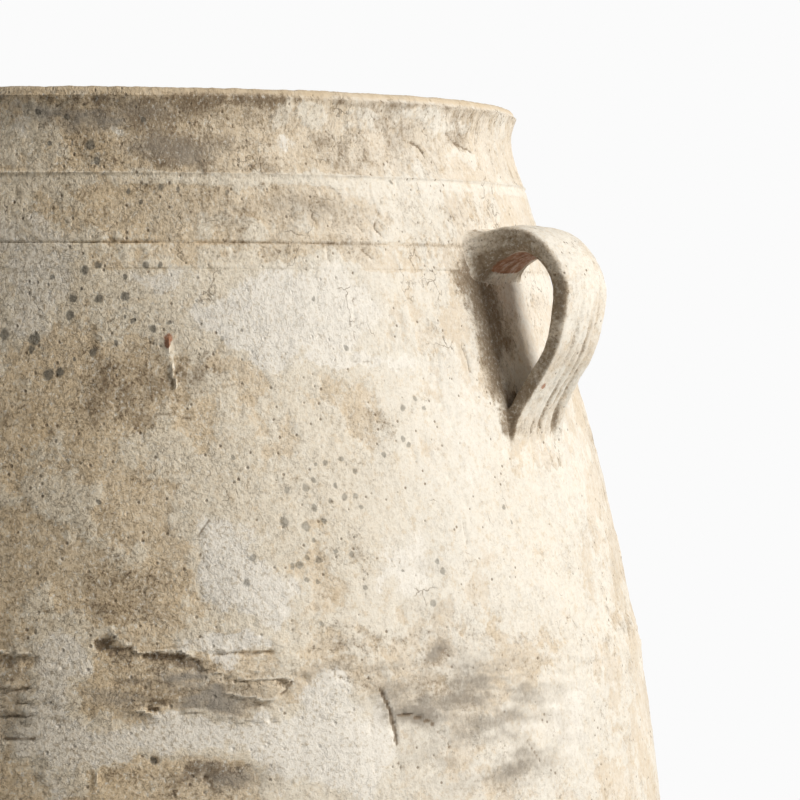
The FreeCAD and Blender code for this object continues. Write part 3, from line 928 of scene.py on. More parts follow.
def wall_lime(skin):
    """How much more of its white lime the wall has kept here than elsewhere; on the raised torn edges this
    is partly painted highlight.
    """
    band = skin.depth.over(38.0, 38.8) * skin.depth.over(45.0, 43.0) * 0.35
    ledge = skin.depth.over(82.0, 82.8) * skin.depth.over(96.0, 85.0) * 0.3
    # The raised torn edges are whitened, partly as painted highlight.
    return skin.patches(LIME_PATCHES) + attribute(skin.canvas, "torn") * 0.4 + band + ledge


def carried(canvas, name):
    """A value that the mesh carries, inside a material."""
    return canvas.made("ShaderNodeAttribute", {}, output="Fac", attribute_name=name)


def washes(skin, dirt, lime):
    """Cream, grey and warm washes, soiled, and browned as painted shade towards the jar's shaded side: their
    colour, their grain and their crazing.
    """
    canvas, palette = skin.canvas, colours()
    grain = skin.noise(1.7, detail=4, rough=0.72, seed=22)
    mottle = skin.noise(30, detail=9, rough=0.70, seed=21)
    # Painted shade: towards the jar's shaded left, and where it is dirty, the wash turns ochre and greyer,
    # gets more freckles and flecks, and is tinted brown below.
    shade_and_dirt_film = (skin.side.over(192.0, -40.0) + dirt * 0.3).limited()
    tone = canvas.mix(shade_and_dirt_film * 0.6, palette.limewash, palette.ochre_wash)
    warm = skin.noise(60, detail=6, rough=0.6, seed=20).over(0.44, 0.62) * 0.34
    tone = canvas.mix(warm, tone, palette.warm_wash)
    grey = skin.noise(44, detail=8, rough=0.68, seed=25).over(0.49, 0.60) * (0.08 + shade_and_dirt_film * 0.18)
    tone = canvas.mix(grey, tone, palette.grey_wash)
    blotch = skin.noise(11, detail=7, rough=0.72, seed=28)
    tone = canvas.mix(blotch.over(0.50, 0.66) * 0.45, tone, palette.warm_wash)
    plates = (skin.noise(24, detail=8, rough=0.66, seed=9) + lime * 0.35 - dirt * 0.3).over(0.525, 0.57)
    tone = canvas.mix(plates * 0.6, tone, palette.white_lime)
    speck = skin.noise(4.0, detail=6, rough=0.78, seed=30)
    tone = canvas.mix(speck.over(0.52, 0.63) * 0.42, tone, palette.warm_wash)
    tone = canvas.mix(speck.over(0.48, 0.37) * 0.42, tone, palette.white_lime)
    # Painted shade: the brown tint is multiplied in towards the shaded left.
    tone = canvas.mix(shade_and_dirt_film, tone, palette.shade_glaze, blend="MULTIPLY")

    streak = skin.noise(24, detail=6, rough=0.62, seed=23, upright=6.0) - 0.5
    streak = streak * (0.3 + skin.depth.over(60.0, 110.0) * 0.7)
    drag = skin.noise(9, detail=5, rough=0.62, seed=24, level=6.0) - 0.5
    # Painted light: a little less grime at the jar's lit right edge.
    amount = mottle * 0.75 + 0.1 - skin.side.over(210.0, 248.0) * 0.05 + dirt * 0.6 - lime * 0.15
    amount = amount + streak * 0.4 + drag * 0.3 + (blotch - 0.5) * 0.6
    tone = canvas.mix(amount.over(0.49, 0.88) * 0.8, tone, palette.grime_and_shade)
    freckled = 0.10 + shade_and_dirt_film * 0.36 + amount.over(0.38, 0.72) * 0.45
    tone = canvas.mix(grain.over(0.50, 0.64) * freckled, tone, palette.grime_and_shade)
    tone = canvas.mix(grain.over(0.47, 0.32) * (0.4 + shade_and_dirt_film * 0.3), tone, palette.white_lime)
    distance, chance = canvas.cells(skin.drum, 4.6, seed=4)
    pores = (distance * 4.6 / (chance * 0.7 + 0.2)).over(1.0, 0.5) * (chance + dirt * 0.4).over(0.42, 0.55)
    tone = canvas.mix(pores * 0.75, tone, palette.grime_and_shade)
    flecks = skin.noise(3.2, detail=5, rough=0.8, seed=34, level=1.5).over(0.575, 0.64)
    thick = (0.10 + shade_and_dirt_film * 0.30 + amount.over(0.40, 0.68) * 0.60) * flecks
    return canvas.mix(thick, tone, palette.grime_and_shade), grain, crackle(skin)


def crackle(skin):
    """Hair cracks that craze the wash in places."""
    gap = skin.canvas.cells(skin.ruffled(), 15.0, feature="DISTANCE_TO_EDGE", seed=6)
    share = skin.depth.over(150.0, 90.0) * 0.08
    return gap.over(0.022, 0.006) * (skin.noise(26, detail=4, rough=0.6, seed=32) + share).over(0.60, 0.70)


def rough_clay(skin, main, crazing):
    """Fine relief of the washed clay: grains, flakes, crazing and pinholes."""
    canvas = skin.canvas
    fine = skin.noise(1.7, detail=4, rough=0.72, seed=22)
    crust = skin.noise(4.0, detail=6, rough=0.74, seed=27)
    flakes = skin.noise(7, detail=6, rough=0.7, seed=33).over(0.50, 0.53)
    distance, chance = canvas.cells(skin.drum, 4.6, seed=4)
    pinholes = distance.over(0.24, 0.05) * chance.over(0.5, 0.6)
    height = fine * 0.8 + crust * 0.55 + flakes * 0.45 - pinholes * 0.7 - crazing * 0.3
    smooth = skin.noise(36, detail=4, seed=29).over(0.60, 0.40) * 0.2 + 0.3
    smooth = smooth + skin.side.over(150.0, -60.0) * 0.5
    inputs = {"Height": height, "Strength": smooth, "Distance": 0.0018}
    canvas.feed(main.inputs["Normal"], canvas.made("ShaderNodeBump", inputs))
    main.inputs["Specular IOR Level"].default_value = 0.25


def limewash_finish():
    """Weathered limewash on the wall, with lichen, cracks and a worn lip."""
    material, canvas, main = shader("limewash")
    palette = colours()
    skin = Skin(canvas, canvas.made("ShaderNodeTexCoord", {}, output="Object"))
    dirt = carried(canvas, "dirt") - carried(canvas, "chalk") * 0.4
    tone, grain, crazing = washes(skin, dirt, carried(canvas, "lime"))

    scale = skin.noise(16, detail=8, rough=0.7, seed=36) - 0.5
    chalk = (carried(canvas, "chalk") + scale * 2.4).over(0.42, 0.66) * grain.over(0.66, 0.48)
    # Painted light: the pale chalk is laid on thicker towards the lit right of the jar.
    tone = canvas.mix(chalk * (0.4 + skin.side.over(-40.0, 80.0) * 0.48), tone, palette.chalk)
    smear = carried(canvas, "smear") * (0.35 + grain) * (1.0 + scale * 1.6)
    tone = canvas.mix(smear.limited(), tone, palette.soot)

    spots = skin.spots(LICHEN_PIXELS)
    distance, chance = canvas.cells(skin.drum, 16.0, seed=2)
    stray = distance * 16.0 / (chance * 1.6 + 0.6)
    stray = stray + chance.over(0.75, 0.35) * 9.0 + skin.noise(90, detail=2, seed=26).over(0.62, 0.42) * 9.0
    lichen = (spots.least(stray) + (grain - 0.5) * 0.5).over(1.2, 0.65)
    # Painted shade: the lichen is darker towards the shaded left of the jar.
    thick = 0.3 + grain * 0.5 + skin.side.over(70.0, 0.0) * 0.25
    tone = canvas.mix(lichen * thick, tone, palette.lichen)

    cracks = (carried(canvas, "crack") + (grain - 0.5) * 0.5).over(0.25, 0.9)
    tone = canvas.mix(cracks.most(crazing * 0.8) * 0.75, tone, palette.grime_and_shade)
    chip = skin.spots(CHIP_PIXELS).over(1.2, 0.7)
    tone = canvas.mix(chip * (0.5 + grain * 0.7).limited(), tone, palette.terracotta)
    lip_wear = (skin.depth + (grain - 0.5) * 3.0).over(4.4, 2.6)
    tone = canvas.mix(lip_wear * 0.7, tone, palette.warm_wash)

    canvas.feed(main.inputs["Base Color"], tone)
    canvas.feed(main.inputs["Roughness"], 0.82 + grain * 0.16 - lichen * 0.04)
    rough_clay(skin, main, crazing)
    return material


def handle_finish():
    """Limewash on a handle, rubbed through to fired clay under its arch."""
    material, canvas, main = shader("handle_limewash")
    palette = colours()
    skin = Skin(canvas, canvas.made("ShaderNodeTexCoord", {}, output="Object"), projected=False)
    dirt = carried(canvas, "dirt")
    tone, grain, crazing = washes(skin, dirt, 0.25)
    rubbed = skin.noise(4, detail=6, rough=0.75, seed=31, upright=2.5)
    bare = (carried(canvas, "bare") + (rubbed - 0.5) * 1.2).over(0.4, 0.7)
    tone = canvas.mix(bare * (0.55 + rubbed.over(0.40, 0.56) * 0.4), tone, palette.terracotta)
    tone = canvas.mix(bare * rubbed.over(0.50, 0.66) * 0.8, tone, palette.grime_and_shade)
    distance, chance = canvas.cells(skin.drum, 22.0, seed=5)
    chips = (distance * 22.0 + (grain - 0.5) * 5.0).over(1.8, 0.9) * chance.over(0.6, 0.65)
    tone = canvas.mix(chips * 0.8, tone, palette.terracotta)
    canvas.feed(main.inputs["Base Color"], tone)
    canvas.feed(main.inputs["Roughness"], 0.82 + grain * 0.16)
    rough_clay(skin, main, crazing)
    return material


def bare_clay_finish():
    """Unwashed clay inside the jar, with throwing rings, darker low down."""
    material, canvas, main = shader("bare_clay")
    palette = colours()
    skin = Skin(canvas, canvas.made("ShaderNodeTexCoord", {}, output="Object"))
    cloud = skin.noise(60, detail=5, seed=41)
    grain = skin.noise(3.0, detail=4, rough=0.68, seed=42)
    rings = skin.noise(6, detail=3, seed=43, level=14.0)
    tone = canvas.mix(cloud.over(0.42, 0.66) * 0.6, palette.bare_clay, palette.terracotta)
    tone = canvas.mix(rings.over(0.50, 0.68) * 0.35, tone, palette.warm_wash)
    # Darker towards the bottom inside the jar.
    tone = canvas.mix(skin.depth.over(120.0, 700.0) * 0.55, tone, palette.grime_and_shade)
    tone = canvas.mix(grain.over(0.58, 0.74) * 0.4, tone, palette.grime_and_shade)
    canvas.feed(main.inputs["Base Color"], tone)
    canvas.feed(main.inputs["Roughness"], 0.84 + grain * 0.14)
    main.inputs["Specular IOR Level"].default_value = 0.2
    bump = canvas.made("ShaderNodeBump", {"Height": grain + rings * 0.8, "Strength": 0.8, "Distance": 0.001})
    canvas.feed(main.inputs["Normal"], bump)
    return material


FINISHES = {"limewash": limewash_finish, "handle_limewash": handle_finish, "bare_clay": bare_clay_finish}


def finish(name):
    """A finish by name, made when it is first asked for."""
    return bpy.data.materials.get(name) or FINISHES[name]()


# Trees that make the pieces

def new_tree(name, inputs):
    """A tree of geometry nodes with named inputs, its canvas and its two ends."""
    tree = bpy.data.node_groups.new(name, "GeometryNodeTree")
    for name, kind, *default in inputs:
        socket = tree.interface.new_socket(name, in_out="INPUT", socket_type=kind)
        if default:
            socket.default_value = default[0]
    tree.interface.new_socket("Geometry", in_out="OUTPUT", socket_type="NodeSocketGeometry")
    canvas = Canvas(tree)
    start = canvas.node("NodeGroupInput")
    end = canvas.node("NodeGroupOutput")
    given = {item[0]: Field(canvas, start.outputs[item[0]]) for item in inputs}
    return tree, canvas, given, end


PATH_RADIUS = 0.1


def attribute(canvas, name, kind="FLOAT"):
    """A value that the mesh carries, inside a tree of geometry nodes."""
    return canvas.made("GeometryNodeInputNamedAttribute", {"Name": name}, data_type=kind)


def stored(canvas, mesh, name, value):
    """The mesh with a value kept on its points."""
    inputs = {"Geometry": mesh, "Name": name, "Value": value}
    return canvas.made("GeometryNodeStoreNamedAttribute", inputs, data_type="FLOAT")


def thrown_ring_tree():
    """Turns a section about the jar's axis and raises its relief."""
    inputs = (
        ("Section", "NodeSocketObject"),
        ("Torn edges", "NodeSocketObject"),
        ("Hollows", "NodeSocketObject"),
        ("Cracks", "NodeSocketObject"),
        ("Turn steps", "NodeSocketInt", 840),
        ("Front pull", "NodeSocketFloat", 0.5),
        ("Front", "NodeSocketFloat", 0.0),
        ("Outside", "NodeSocketMaterial"),
        ("Inside", "NodeSocketMaterial"),
    )
    tree, canvas, given, end = new_tree("thrown ring", inputs)
    circle = canvas.made("GeometryNodeCurvePrimitiveCircle",
                         {"Resolution": given["Turn steps"], "Radius": PATH_RADIUS})
    position = canvas.made("GeometryNodeInputPosition", {})
    x, y, _ = canvas.split(position)
    angle = canvas.math("ARCTAN2", y, x)
    pulled = angle - canvas.math("SINE", angle - given["Front"]) * given["Front pull"]
    place = canvas.joined(canvas.math("COSINE", pulled), canvas.math("SINE", pulled), 0.0)
    place = canvas.scaled(place, PATH_RADIUS)
    circle = canvas.made("GeometryNodeSetPosition", {"Geometry": circle, "Position": place})
    section = canvas.made("GeometryNodeObjectInfo", {"Object": given["Section"]}, output="Geometry")
    section = canvas.made("GeometryNodeMeshToCurve", {"Mesh": section})
    ring = canvas.made("GeometryNodeCurveToMesh", {"Curve": circle, "Profile Curve": section})

    skin = Skin(canvas, position)
    fray = (skin.noise(5, detail=4, rough=0.65, seed=4) - 0.5) * 1.6
    ring = stored(canvas, ring, "torn", line_marks(skin, given["Torn edges"], fray * 0.5))
    ring = stored(canvas, ring, "hollow", line_marks(skin, given["Hollows"], fray, 1.15, 0.75))
    ring = stored(canvas, ring, "crack", line_marks(skin, given["Cracks"], fray * 0.3, 1.25, 0.3) * 1.1)
    ring = stored(canvas, ring, "dirt", wall_dirt_and_shade(skin))
    ring = stored(canvas, ring, "lime", wall_lime(skin))
    drawn = skin.noise(12, detail=7, rough=0.7, seed=37, level=3.5).over(0.38, 0.60) * 1.35
    ring = stored(canvas, ring, "smear", skin.patches(SMEAR_PATCHES) * drawn)
    ring = stored(canvas, ring, "chalk", skin.patches(CHALK_PATCHES))
    lean = attribute(canvas, "lean", "FLOAT_VECTOR")
    lean_out, _, lean_up = canvas.split(lean)
    outer = attribute(canvas, "outer")
    lip = attribute(canvas, "lip")
    inner = attribute(canvas, "inner")
    relief = wall_relief(skin) * outer + lip_relief(skin) * lip + inside_relief(skin) * inner
    unit = canvas.vector("NORMALIZE", canvas.vector("MULTIPLY", position, (1, 1, 0)))
    out_x, out_y, _ = canvas.split(unit)
    push = relief * MM
    offset = canvas.joined(out_x * lean_out * push, out_y * lean_out * push, lean_up * push)
    ring = canvas.made("GeometryNodeSetPosition", {"Geometry": ring, "Offset": offset})
    ring = canvas.made("GeometryNodeMergeByDistance", {"Geometry": ring, "Distance": 0.00001})
    ring = canvas.made("GeometryNodeRealizeInstances", {"Geometry": ring})
    ring = canvas.made("GeometryNodeSetMaterial", {"Geometry": ring, "Material": given["Inside"]})
    seen = canvas.math("GREATER_THAN", outer + lip, 0.01)
    ring = canvas.made("GeometryNodeSetMaterial",
                       {"Geometry": ring, "Selection": seen, "Material": given["Outside"]})
    canvas.feed(end.inputs[0], ring)
    return tree


# Middle line of a handle from its upper root to its lower one, in millimetres: rise over the
# neck's join, reach out of the wall, half the width and half the thickness
HANDLE_LINE = (
    (2.0, -13.0, 23.0, 9.0),
    (8.0, 0.4, 22.5, 8.2),
    (12.2, 10.8, 22.0, 7.2),
    (14.4, 19.5, 21.5, 6.2),
    (13.8, 27.6, 21.5, 5.4),
    (10.2, 33.8, 21.5, 4.8),
    (3.0, 38.4, 21.5, 4.6),
    (-5.5, 40.0, 21.5, 4.6),
    (-15.0, 37.8, 21.5, 4.5),
    (-26.0, 32.8, 21.0, 4.3),
    (-37.0, 26.2, 20.5, 4.0),
    (-52.0, 13.0, 21.0, 3.9),
    (-66.0, 1.6, 23.5, 4.0),
    (-80.0, -4.4, 26.0, 3.8),
    (-92.0, -9.0, 28.0, 3.4),
)

# Finger grooves on the lower half of a handle: place across it and width, as shares of half its
# width, and depth in millimetres
FINGER_GROOVES = ((0.60, 0.13, 2.6), (0.26, 0.07, 2.2), (-0.04, 0.09, 1.9), (-0.36, 0.06, 1.6))

# Half the width of the ribbon in the middle of a handle, in millimetres
RIBBON_HALF = 48.0

# How far the wall by a handle is followed below and above the neck's join
HANDLE_DROP = 0.12
HANDLE_TOP = 0.035

# Room left round a handle on the grid that it is swollen on
HANDLE_MARGIN = Vector((0.014, 0.020, 0.018))


def smooth_rows(rows, count):
    """Rows of numbers drawn through by a smooth curve, at even steps."""
    rows = np.array(rows, float)
    padded = np.vstack([2 * rows[0] - rows[1], rows, 2 * rows[-1] - rows[-2]])
    share = np.linspace(0, len(rows) - 1, count)
    i = np.minimum(share.astype(int), len(rows) - 2)
    t = (share - i)[:, None]
    a, b, c, d = (padded[i + step] for step in range(4))
    return b + 0.5 * t * (c - a + t * (2 * a - 5 * b + 4 * c - d + t * (3 * (b - c) + d - a)))


def ribbon_object(name, side):
    """The bent ribbon in a handle's middle, with half its thickness, half its width and its grooves."""
    along, across = 110, 65
    rows = smooth_rows(HANDLE_LINE, along)
    places, halves = [], []
    for number, (rise, reach, half_wide, half_thick) in enumerate(rows):
        height = NECK_SEAT + rise * MM
        out = float(OUTSIDE(height)) + reach * MM
        lower = min(max((number / along - 0.42) / 0.25, 0.0), 1.0)
        for place in np.linspace(-RIBBON_HALF, RIBBON_HALF, across):
            eta = place / half_wide
            groove = 0.0
            for middle, wide, deep in FINGER_GROOVES:
                uneven = 0.85 + 0.3 * math.sin(number * 0.16 + middle * 9.0)
                groove += deep * uneven * math.exp(-((eta - middle) / wide) ** 2)
            thick = half_thick * (1.12 - 0.24 * min(eta * eta, 1.0)) - groove * lower
            places.append((side * out, place * MM, height))
            halves.append((thick * MM, half_wide * MM, groove * lower))
    faces = []
    for row in range(along - 1):
        for column in range(across - 1):
            corner = row * across + column
            faces.append((corner, corner + 1, corner + across + 1, corner + across))
    return guide_object(name, places, [], faces, [("halves", "FLOAT_VECTOR", "POINT", halves)])


def pulled_handle_tree():
    """Swells a handle round its ribbon and melts it into the wall, with painted shade on its sides, under
    its arch, in its creases and in its grooves.
    """
    inputs = (
        ("Ribbon", "NodeSocketObject"),
        ("Low corner", "NodeSocketVector"),
        ("High corner", "NodeSocketVector"),
        ("Steps across", "NodeSocketInt", 80),
        ("Steps along", "NodeSocketInt", 100),
        ("Steps up", "NodeSocketInt", 160),
        ("Join height", "NodeSocketFloat", 0.739),
        ("Wall radius", "NodeSocketFloat", 0.216),
        ("Wall slope", "NodeSocketFloat", -0.27),
        ("Wall curve", "NodeSocketFloat", 0.0),
        ("Blend", "NodeSocketFloat", 0.009),
        ("Finish", "NodeSocketMaterial"),
    )
    tree, canvas, given, end = new_tree("pulled handle", inputs)
    position = canvas.made("GeometryNodeInputPosition", {})
    x, y, z = canvas.split(position)
    ribbon = canvas.made("GeometryNodeObjectInfo", {"Object": given["Ribbon"]}, output="Geometry")
    distance = canvas.made("GeometryNodeProximity", {"Geometry": ribbon}, output="Distance",
                           target_element="FACES")
    halves = canvas.made("GeometryNodeSampleNearestSurface",
                         {"Mesh": ribbon, "Value": attribute(canvas, "halves", "FLOAT_VECTOR")},
                         data_type="FLOAT_VECTOR")
    thickness, width, groove = canvas.split(halves)
    rise = z - given["Join height"]
    corner = 0.0012 + rise.over(-0.045, -0.020) * 0.0018
    over = distance - thickness + corner
    beside = abs(y) - width + corner
    outer, aside = over.most(0.0), beside.most(0.0)
    strap = canvas.math("SQRT", outer * outer + aside * aside) + over.most(beside).least(0.0) - corner
    wall = given["Wall radius"] + rise * given["Wall slope"] + rise * rise * given["Wall curve"]
    out = (canvas.math("SQRT", x * x + y * y) - wall) * 0.965
    sink = (strap - 0.005).most(0.0) * 0.3 + 0.0003 + rise.over(-0.04, -0.02) * 0.001
    blend = given["Blend"] * (0.25 + rise.over(-0.03, -0.008) * 0.75 + rise.over(-0.076, -0.090) * 0.8)
    body = canvas.math("SMOOTH_MIN", strap, out + sink, blend).most(-(out + 0.009))
    grid = {"Density": body * -PER_METRE, "Background": -1.0, "Min": given["Low corner"],
            "Max": given["High corner"], "Resolution X": given["Steps across"],
            "Resolution Y": given["Steps along"], "Resolution Z": given["Steps up"]}
    volume = canvas.made("GeometryNodeVolumeCube", grid)
    mesh = canvas.made("GeometryNodeVolumeToMesh", {"Volume": volume, "Threshold": 0.0})
    normal = canvas.made("GeometryNodeInputNormal", {})
    _, aside, up = canvas.split(normal)
    below = up.over(0.05, -0.5) * rise.over(-0.024, -0.012)
    middle = abs(y).over(0.021, 0.010)
    bare = below * out.over(0.0015, 0.005) * middle
    near_wall = rise.over(-0.020, -0.004) * out.over(0.016, 0.004)
    # Painted shade: the strap's two side faces are darkened, less so near the wall.
    edge = abs(aside).over(0.35, 0.9) * (1.0 - near_wall * 0.8) * 0.5
    under = rise.over(0.012, 0.002) * rise.over(-0.034, -0.010)
    # Partly grime, partly painted shade under the upper root, on its near side.
    root = out.over(0.022, 0.010) * out.over(-0.001, 0.006) * under * y.over(-0.008, -0.020) * 0.8
    inside = rise.over(-0.010, -0.022) * rise.over(-0.080, -0.068)
    # Painted shadow of the arch on the wall skirt inside the loop, with some soot; then painted shade in the
    # crease where the lower root meets the wall.
    soot_and_shadow = out.over(0.005, 0.001) * inside * y.over(0.010, -0.014)
    join = (strap + out).over(0.012, 0.0) * rise.over(-0.08, -0.06)
    # The downward faces under the arch, beside its bare middle, are darkened as painted shade.
    crease_shade_and_soot = soot_and_shadow * 0.6 + join * 0.25 + below * (1.0 - middle) * 0.5
    mesh = stored(canvas, mesh, "bare", bare)
    # The finger grooves are darkened too, partly dirt and partly painted shade.
    mesh = stored(canvas, mesh, "dirt", edge + root + crease_shade_and_soot + groove.over(0.6, 2.0) * 0.4)
    place = canvas.scaled(position, PER_METRE)
    relief = (canvas.noise(place, 16, detail=3, seed=51) - 0.5) * 1.3
    relief = relief + (canvas.noise(place, 5, detail=4, rough=0.66, seed=52) - 0.5) * 1.1
    push = canvas.scaled(normal, relief * MM)
    mesh = canvas.made("GeometryNodeSetPosition", {"Geometry": mesh, "Offset": push})
    mesh = canvas.made("GeometryNodeRealizeInstances", {"Geometry": mesh})
    mesh = canvas.made("GeometryNodeSetMaterial", {"Geometry": mesh, "Material": given["Finish"]})
    canvas.feed(end.inputs[0], mesh)
    return tree


def tree_named(name, maker):
    """A tree by name, made when it is first asked for."""
    return bpy.data.node_groups.get(name) or maker()


def line_object(name, points):
    """A section as a line of edges, closed unless it starts on the axis, with what its points carry."""
    places = [(radius - PATH_RADIUS, -height, 0) for radius, height, *_ in points]
    closed = points[0][0] > MM
    edges = [(i, i + 1) for i in range(len(points) - 1)] + ([(len(points) - 1, 0)] if closed else [])
    kinds = (("lean", "FLOAT_VECTOR"), ("outer", "FLOAT"), ("lip", "FLOAT"), ("inner", "FLOAT"))
    layers = []
    for slot, (label, kind) in enumerate(kinds):
        layers.append((label, kind, "POINT", [point[2 + slot] for point in points]))
    return guide_object(name, places, edges, [], layers)


def plain_piece(name, tree, values):
    """Runs a tree of geometry nodes and keeps its result as a plain mesh piece."""
    piece = bpy.data.objects.new(name, bpy.data.meshes.new(name + "_start"))
    bpy.context.scene.collection.objects.link(piece)
    modifier = piece.modifiers.new("make", "NODES")
    modifier.node_group = tree
    for item in tree.interface.items_tree:
        if item.item_type == "SOCKET" and item.in_out == "INPUT" and item.name in values:
            modifier[item.identifier] = values[item.name]
    view = bpy.context.evaluated_depsgraph_get()
    mesh = bpy.data.meshes.new_from_object(piece.evaluated_get(view))
    piece.modifiers.remove(modifier)
    piece.data = mesh
    mesh.name = name
    if len(mesh.polygons) == 0:
        raise RuntimeError(f"{name} came out empty")
    mesh.polygons.foreach_set("use_smooth", np.ones(len(mesh.polygons), bool))
    mesh.set_sharp_from_angle(angle=SHARP_ANGLE)
    return piece


OUT = (1.0, 0.0, 0.0)
IN = (-1.0, 0.0, 0.0)
STILL = (0.0, 0.0, 0.0)


def levels(low, high, step):
    """Evenly spaced heights from low to high."""
    count = max(2, round(abs(high - low) / step) + 1)
    return [float(height) for height in np.linspace(low, high, count)]


def outside_rows(low, high, step):
    """Points of a section up the outside, which carry the wall's relief."""
    return [(float(OUTSIDE(height)), height, OUT, 1.0, 0.0, 0.0) for height in levels(low, high, step)]


def hidden_rows(low, high, depth):
    """Two points of a section behind the outside, which stay as they are."""
    return [(float(OUTSIDE(height)) - depth, height, STILL, 0.0, 0.0, 0.0) for height in (low, high)]


def inside_rows(high, low, step):
    """Points of a section down the inside, which carry throwing rings."""
    return [(float(INSIDE(height)), height, IN, 0.0, 0.0, 1.0) for height in levels(high, low, step)]


def ring_piece(name, points, node, slot):
    """A thrown ring made from its section, in the place of a node of the frame."""
    shape = sizes()
    section = line_object(name + "_section", points)
    drawn = {
        "Torn edges": marks_object("torn_edges", TORN_EDGES),
        "Hollows": marks_object("hollows", list(hollow_lines())),
        "Cracks": marks_object("cracks", CRACKS),
    }
    values = {
        **drawn,
        "Section": section,
        "Turn steps": shape.turn_steps,
        "Front pull": shape.front_pull,
        "Front": stage_settings().camera_turn - math.pi / 2 + shape.front_turn,
        "Outside": finish("limewash"),
        "Inside": finish("bare_clay"),
    }
    piece = plain_piece(name, tree_named("thrown ring", thrown_ring_tree), values)
    for helper in (section, *drawn.values()):
        bpy.data.objects.remove(helper)
    return settled(piece, slot, node)


def settled(piece, slot, *nodes):
    """Lets a piece ride on the jar in the place of its nodes."""
    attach(piece, BODY)
    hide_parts(*nodes)
    return piece


def round_corner(radius, size, start, end, count):
    """Points of a quarter round on the lip, from one angle to another, with the way each leans."""
    points = []
    for angle in np.linspace(math.radians(start), math.radians(end), count):
        lean = (math.cos(angle), 0.0, math.sin(angle))
        points.append((radius + size * lean[0], JAR_TOP - size + size * lean[2], lean))
    return points


class JAR_OT_base(bpy.types.Operator):
    """Makes the slab of the foot and the coil in its inner corner"""

    bl_idname = "jar.base"
    bl_label = "Foot"

    def execute(self, context):
        shape = sizes()
        inner = float(INSIDE(SLAB_TOP))
        spigot_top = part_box("base_slab")[1].z
        edge = float(OUTSIDE(FOOT_CHAMFER))
        under = [(radius, 0.0, STILL, 0.0, 0.0, 0.0) for radius in np.linspace(0.0, edge - FOOT_CHAMFER, 10)]
        side = outside_rows(FOOT_CHAMFER, SLAB_TOP, shape.coarse_row)
        floor_up = (0.0, 0.0, 1.0)
        top = [(radius, spigot_top, floor_up, 0.0, 0.0, 0.6) for radius in np.linspace(inner, 0.0, 14)]
        ring_piece("foot_slab", [*under, *side, *top], "base_slab", "limewashed_clay")
        low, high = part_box("base_fillet_coil")[0].z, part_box("base_fillet_coil")[1].z
        span = high - low
        heights = levels(low, high, span / 3)
        wall = [(float(INSIDE(height)) + FILLET_LET_IN, height, STILL, 0.0, 0.0, 0.0) for height in heights]
        lean = float(INSIDE(high)) - float(INSIDE(low)) + span
        face = []
        for share in np.linspace(0.0, 1.0, 7):
            height = high - share * span
            sag = math.sin(share * math.pi) * FILLET_SAG
            radius = float(INSIDE(high)) - share * lean - sag
            face.append((radius, height, (-0.7, 0.0, 0.7), 0.0, 0.0, 0.4))
        ring_piece("foot_fillet", [*wall, *face], "base_fillet_coil", "bare_clay")
        return {"FINISHED"}


class JAR_OT_walls(bpy.types.Operator):
    """Throws the three rings of the wall"""

    bl_idname = "jar.walls"
    bl_label = "Wall rings"

    def execute(self, context):
        shape = sizes()
        deep = shape.coil_depth * 0.6
        lower = [
            *outside_rows(SLAB_TOP, LOWER_COIL[0], shape.coarse_row),
            *hidden_rows(LOWER_COIL[0], LOWER_SEAT, deep),
            *inside_rows(LOWER_SEAT, SLAB_TOP, shape.inside_row),
        ]
        ring_piece("lower_ring", lower, "lower_wall", "limewashed_clay")
        shown = BELLY_COIL[0] - FINE_DROP
        belly = [
            *hidden_rows(LOWER_SEAT, LOWER_COIL[1], deep),
            *outside_rows(LOWER_COIL[1], shown, shape.coarse_row),
            *outside_rows(shown, BELLY_COIL[0], shape.fine_row)[1:],
            *hidden_rows(BELLY_COIL[0], BELLY_SEAT, deep),
            *inside_rows(BELLY_SEAT, LOWER_SEAT, shape.inside_row),
        ]
        ring_piece("belly_ring", belly, "belly_wall", "limewashed_clay")
        shoulder = [
            *hidden_rows(BELLY_SEAT, BELLY_COIL[1], deep),
            *outside_rows(BELLY_COIL[1], NECK_SEAT, shape.fine_row),
            *inside_rows(NECK_SEAT, BELLY_SEAT, shape.inside_row),
        ]
        ring_piece("shoulder_ring", shoulder, "shoulder_wall", "limewashed_clay")
        return {"FINISHED"}


class JAR_OT_seams(bpy.types.Operator):
    """Lays the torn clay coils over the two seams"""

    bl_idname = "jar.seams"
    bl_label = "Seam coils"

    def execute(self, context):
        shape = sizes()
        rows = (
            (LOWER_COIL, "lower_seam_coil", shape.fine_row),
            (BELLY_COIL, "belly_seam_coil", shape.finest_row),
        )
        for (low, high), node, row in rows:
            points = [*outside_rows(low, high, row), *hidden_rows(high, low, shape.coil_depth)]
            ring_piece(node.replace("_coil", ""), points, node, "seam_clay")
        return {"FINISHED"}


